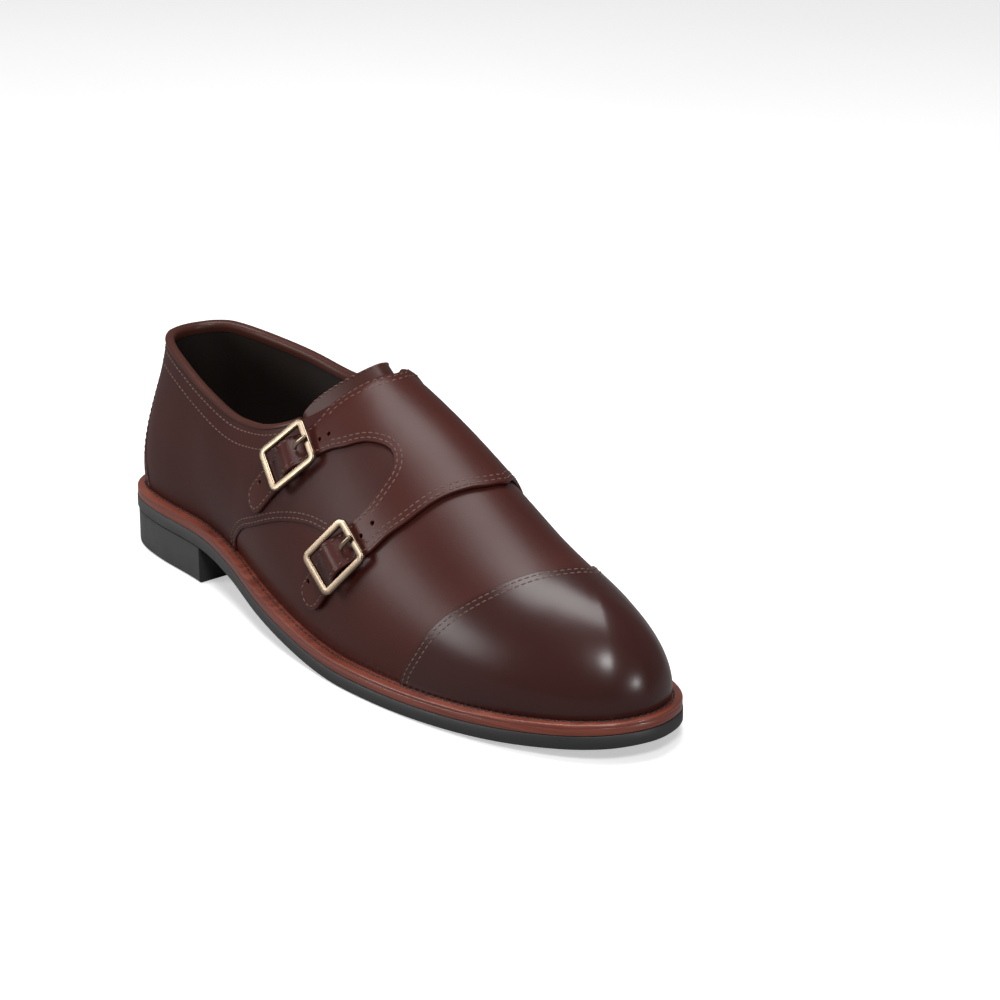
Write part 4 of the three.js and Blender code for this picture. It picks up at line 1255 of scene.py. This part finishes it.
# %% Welt stitches
u = np.linspace(-TIP, TIP, 1201)
welt_run = outline_at(u, 3.4)[0]
welt_run = world_of(np.concatenate([welt_run, welt_top(welt_run[:, 0])[:, None] + 0.08], -1))
sewn("welt_stitches", [(welt_run, lambda middle: (middle, np.tile((0, 0, 1.0), (len(middle), 1))))],
     WELT_THREAD, "red_midsole", (1.35, 0.42, 0.38), 3.1)

# %% [markdown]
# ## Buckles
# A buckle frame is cast and polished. A plate gets round corners, its middle is pushed in and
# cut out, the ring is drawn up to its thickness, and a bevel takes off every sharp edge so
# that it catches the light. A hidden bar crosses it. The prong is a pin laid on its front.

# %% Sizes of the buckles (mm), and setting them in place
FRAME_LENGTH, FRAME_WIDTH, FRAME_BAR, FRAME_THICK, FRAME_CORNER, FRAME_LIFT = 24.5, 20.4, 2.9, 1.9, 3.4, 3.6
BAR_RADIUS, BAR_LIFT, EDGE_ROUND = 0.8, 3.2, 0.55
PRONG_FROM, PRONG_TIP, PRONG_LOW, PRONG_HIGH, PRONG_RADIUS = 4.4, 12.2, 5.2, 6.4, 0.95


def set_in_place(piece, buckle):
    """Turns a piece from the buckle's own axes to its place, and applies that."""
    at, along, across, facing = buckle_axes(buckle)
    piece.matrix_world = Matrix.Translation(Vector(at)) @ Matrix(
        (Vector(along), Vector(across), Vector(facing))).transposed().to_4x4()
    clear_choice()
    piece.select_set(True)
    bpy.context.view_layer.objects.active = piece
    bpy.ops.object.transform_apply(location=True, rotation=True, scale=True)


def round_edges(piece, segments, sharp):
    """Bevels every edge that turns by more than sharp degrees."""
    edge = piece.modifiers.new("edge", "BEVEL")
    edge.width, edge.segments, edge.angle_limit = EDGE_ROUND * MM, segments, math.radians(sharp)
    bpy.ops.object.modifier_apply(modifier="edge")


# %% Buckle frame


def buckle_frame(name, buckle):
    clear_choice()
    bpy.ops.mesh.primitive_plane_add(size=1)
    ring = bpy.context.object
    ring.name = name
    ring.scale = (FRAME_LENGTH * MM, FRAME_WIDTH * MM, 1)
    bpy.ops.object.transform_apply(scale=True)
    bpy.ops.object.mode_set(mode="EDIT")
    bpy.ops.mesh.select_all(action="SELECT")
    bpy.ops.mesh.bevel(offset=FRAME_CORNER * MM, segments=7, affect="VERTICES")
    bpy.ops.mesh.select_all(action="SELECT")
    bpy.ops.mesh.inset(thickness=FRAME_BAR * MM)
    bpy.ops.mesh.delete(type="ONLY_FACE")
    bpy.ops.mesh.select_all(action="SELECT")
    bpy.ops.mesh.extrude_region_move(TRANSFORM_OT_translate={"value": (0, 0, FRAME_THICK * MM)})
    bpy.ops.mesh.select_all(action="SELECT")
    bpy.ops.mesh.normals_make_consistent(inside=False)
    bpy.ops.object.mode_set(mode="OBJECT")
    ring.location.z = FRAME_LIFT * MM
    bpy.ops.object.transform_apply(location=True)
    round_edges(ring, 4, 40)
    bpy.ops.mesh.primitive_cylinder_add(
        vertices=16, radius=BAR_RADIUS * MM, depth=(FRAME_WIDTH - FRAME_BAR) * MM,
        location=(-BAR_BACK * MM, 0, BAR_LIFT * MM), rotation=(math.pi / 2, 0, 0))
    ring.select_set(True)
    bpy.context.view_layer.objects.active = ring
    bpy.ops.object.join()
    ring.data.materials.clear()
    ring.data.materials.append(BRASS)
    set_in_place(ring, buckle)
    tidy(ring, 35)
    return ring


# %% [markdown]
# ## Prongs
# A prong is a pin turned on a lathe, a little thicker at the end that is hooked on the bar, and
# bent down there. The pin is cut across in three places, so that it has somewhere to bend.

# %% Buckle prong


def buckle_prong(name, buckle):
    length = PRONG_TIP - PRONG_FROM
    clear_choice()
    bpy.ops.mesh.primitive_cylinder_add(vertices=14, radius=PRONG_RADIUS * MM, depth=length * MM,
                                        rotation=(0, math.pi / 2, 0))
    pin = bpy.context.object
    pin.name = name
    bpy.ops.object.transform_apply(rotation=True)
    round_edges(pin, 4, 60)
    bpy.ops.object.mode_set(mode="EDIT")
    for t in (0.3, 0.55, 0.8):
        bpy.ops.mesh.select_all(action="SELECT")
        bpy.ops.mesh.bisect(plane_co=((t - 0.5) * length * MM, 0, 0), plane_no=(1, 0, 0))
    bpy.ops.object.mode_set(mode="OBJECT")
    for corner in pin.data.vertices:
        t = corner.co.x / (length * MM) + 0.5
        taper = 1.12 - 0.3 * t
        dip = PRONG_LOW + (PRONG_HIGH + 0.35 - PRONG_LOW) * float(smooth(t / 0.35))
        corner.co.y *= taper * 1.1
        corner.co.z = corner.co.z * taper + dip * MM
        corner.co.x += (PRONG_FROM + length / 2) * MM
    pin.data.materials.clear()
    pin.data.materials.append(BRASS)
    set_in_place(pin, buckle)
    tidy(pin, 50)
    return pin


# %% Both buckles
for side, buckle in BUCKLES.items():
    ring = buckle_frame(f"{side}_buckle_ring", buckle)
    pin = buckle_prong(f"{side}_buckle_pin", buckle)
    pieces.append((ring, "antique_brass", [f"{side}_buckle_frame"]))
    pieces.append((pin, "antique_brass", [f"{side}_buckle_prong"]))
    tell(ring)
    tell(pin)

# %% [markdown]
# ## One body for the whole shoe
# Nothing on this shoe hangs or turns, so every piece rides on the shoe's one body. The bare
# parts that a piece stands in for are hidden.

# %% Who rides on what
for piece, slot, nodes in pieces:
    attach(piece, "root")
    if nodes:
        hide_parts(*nodes)
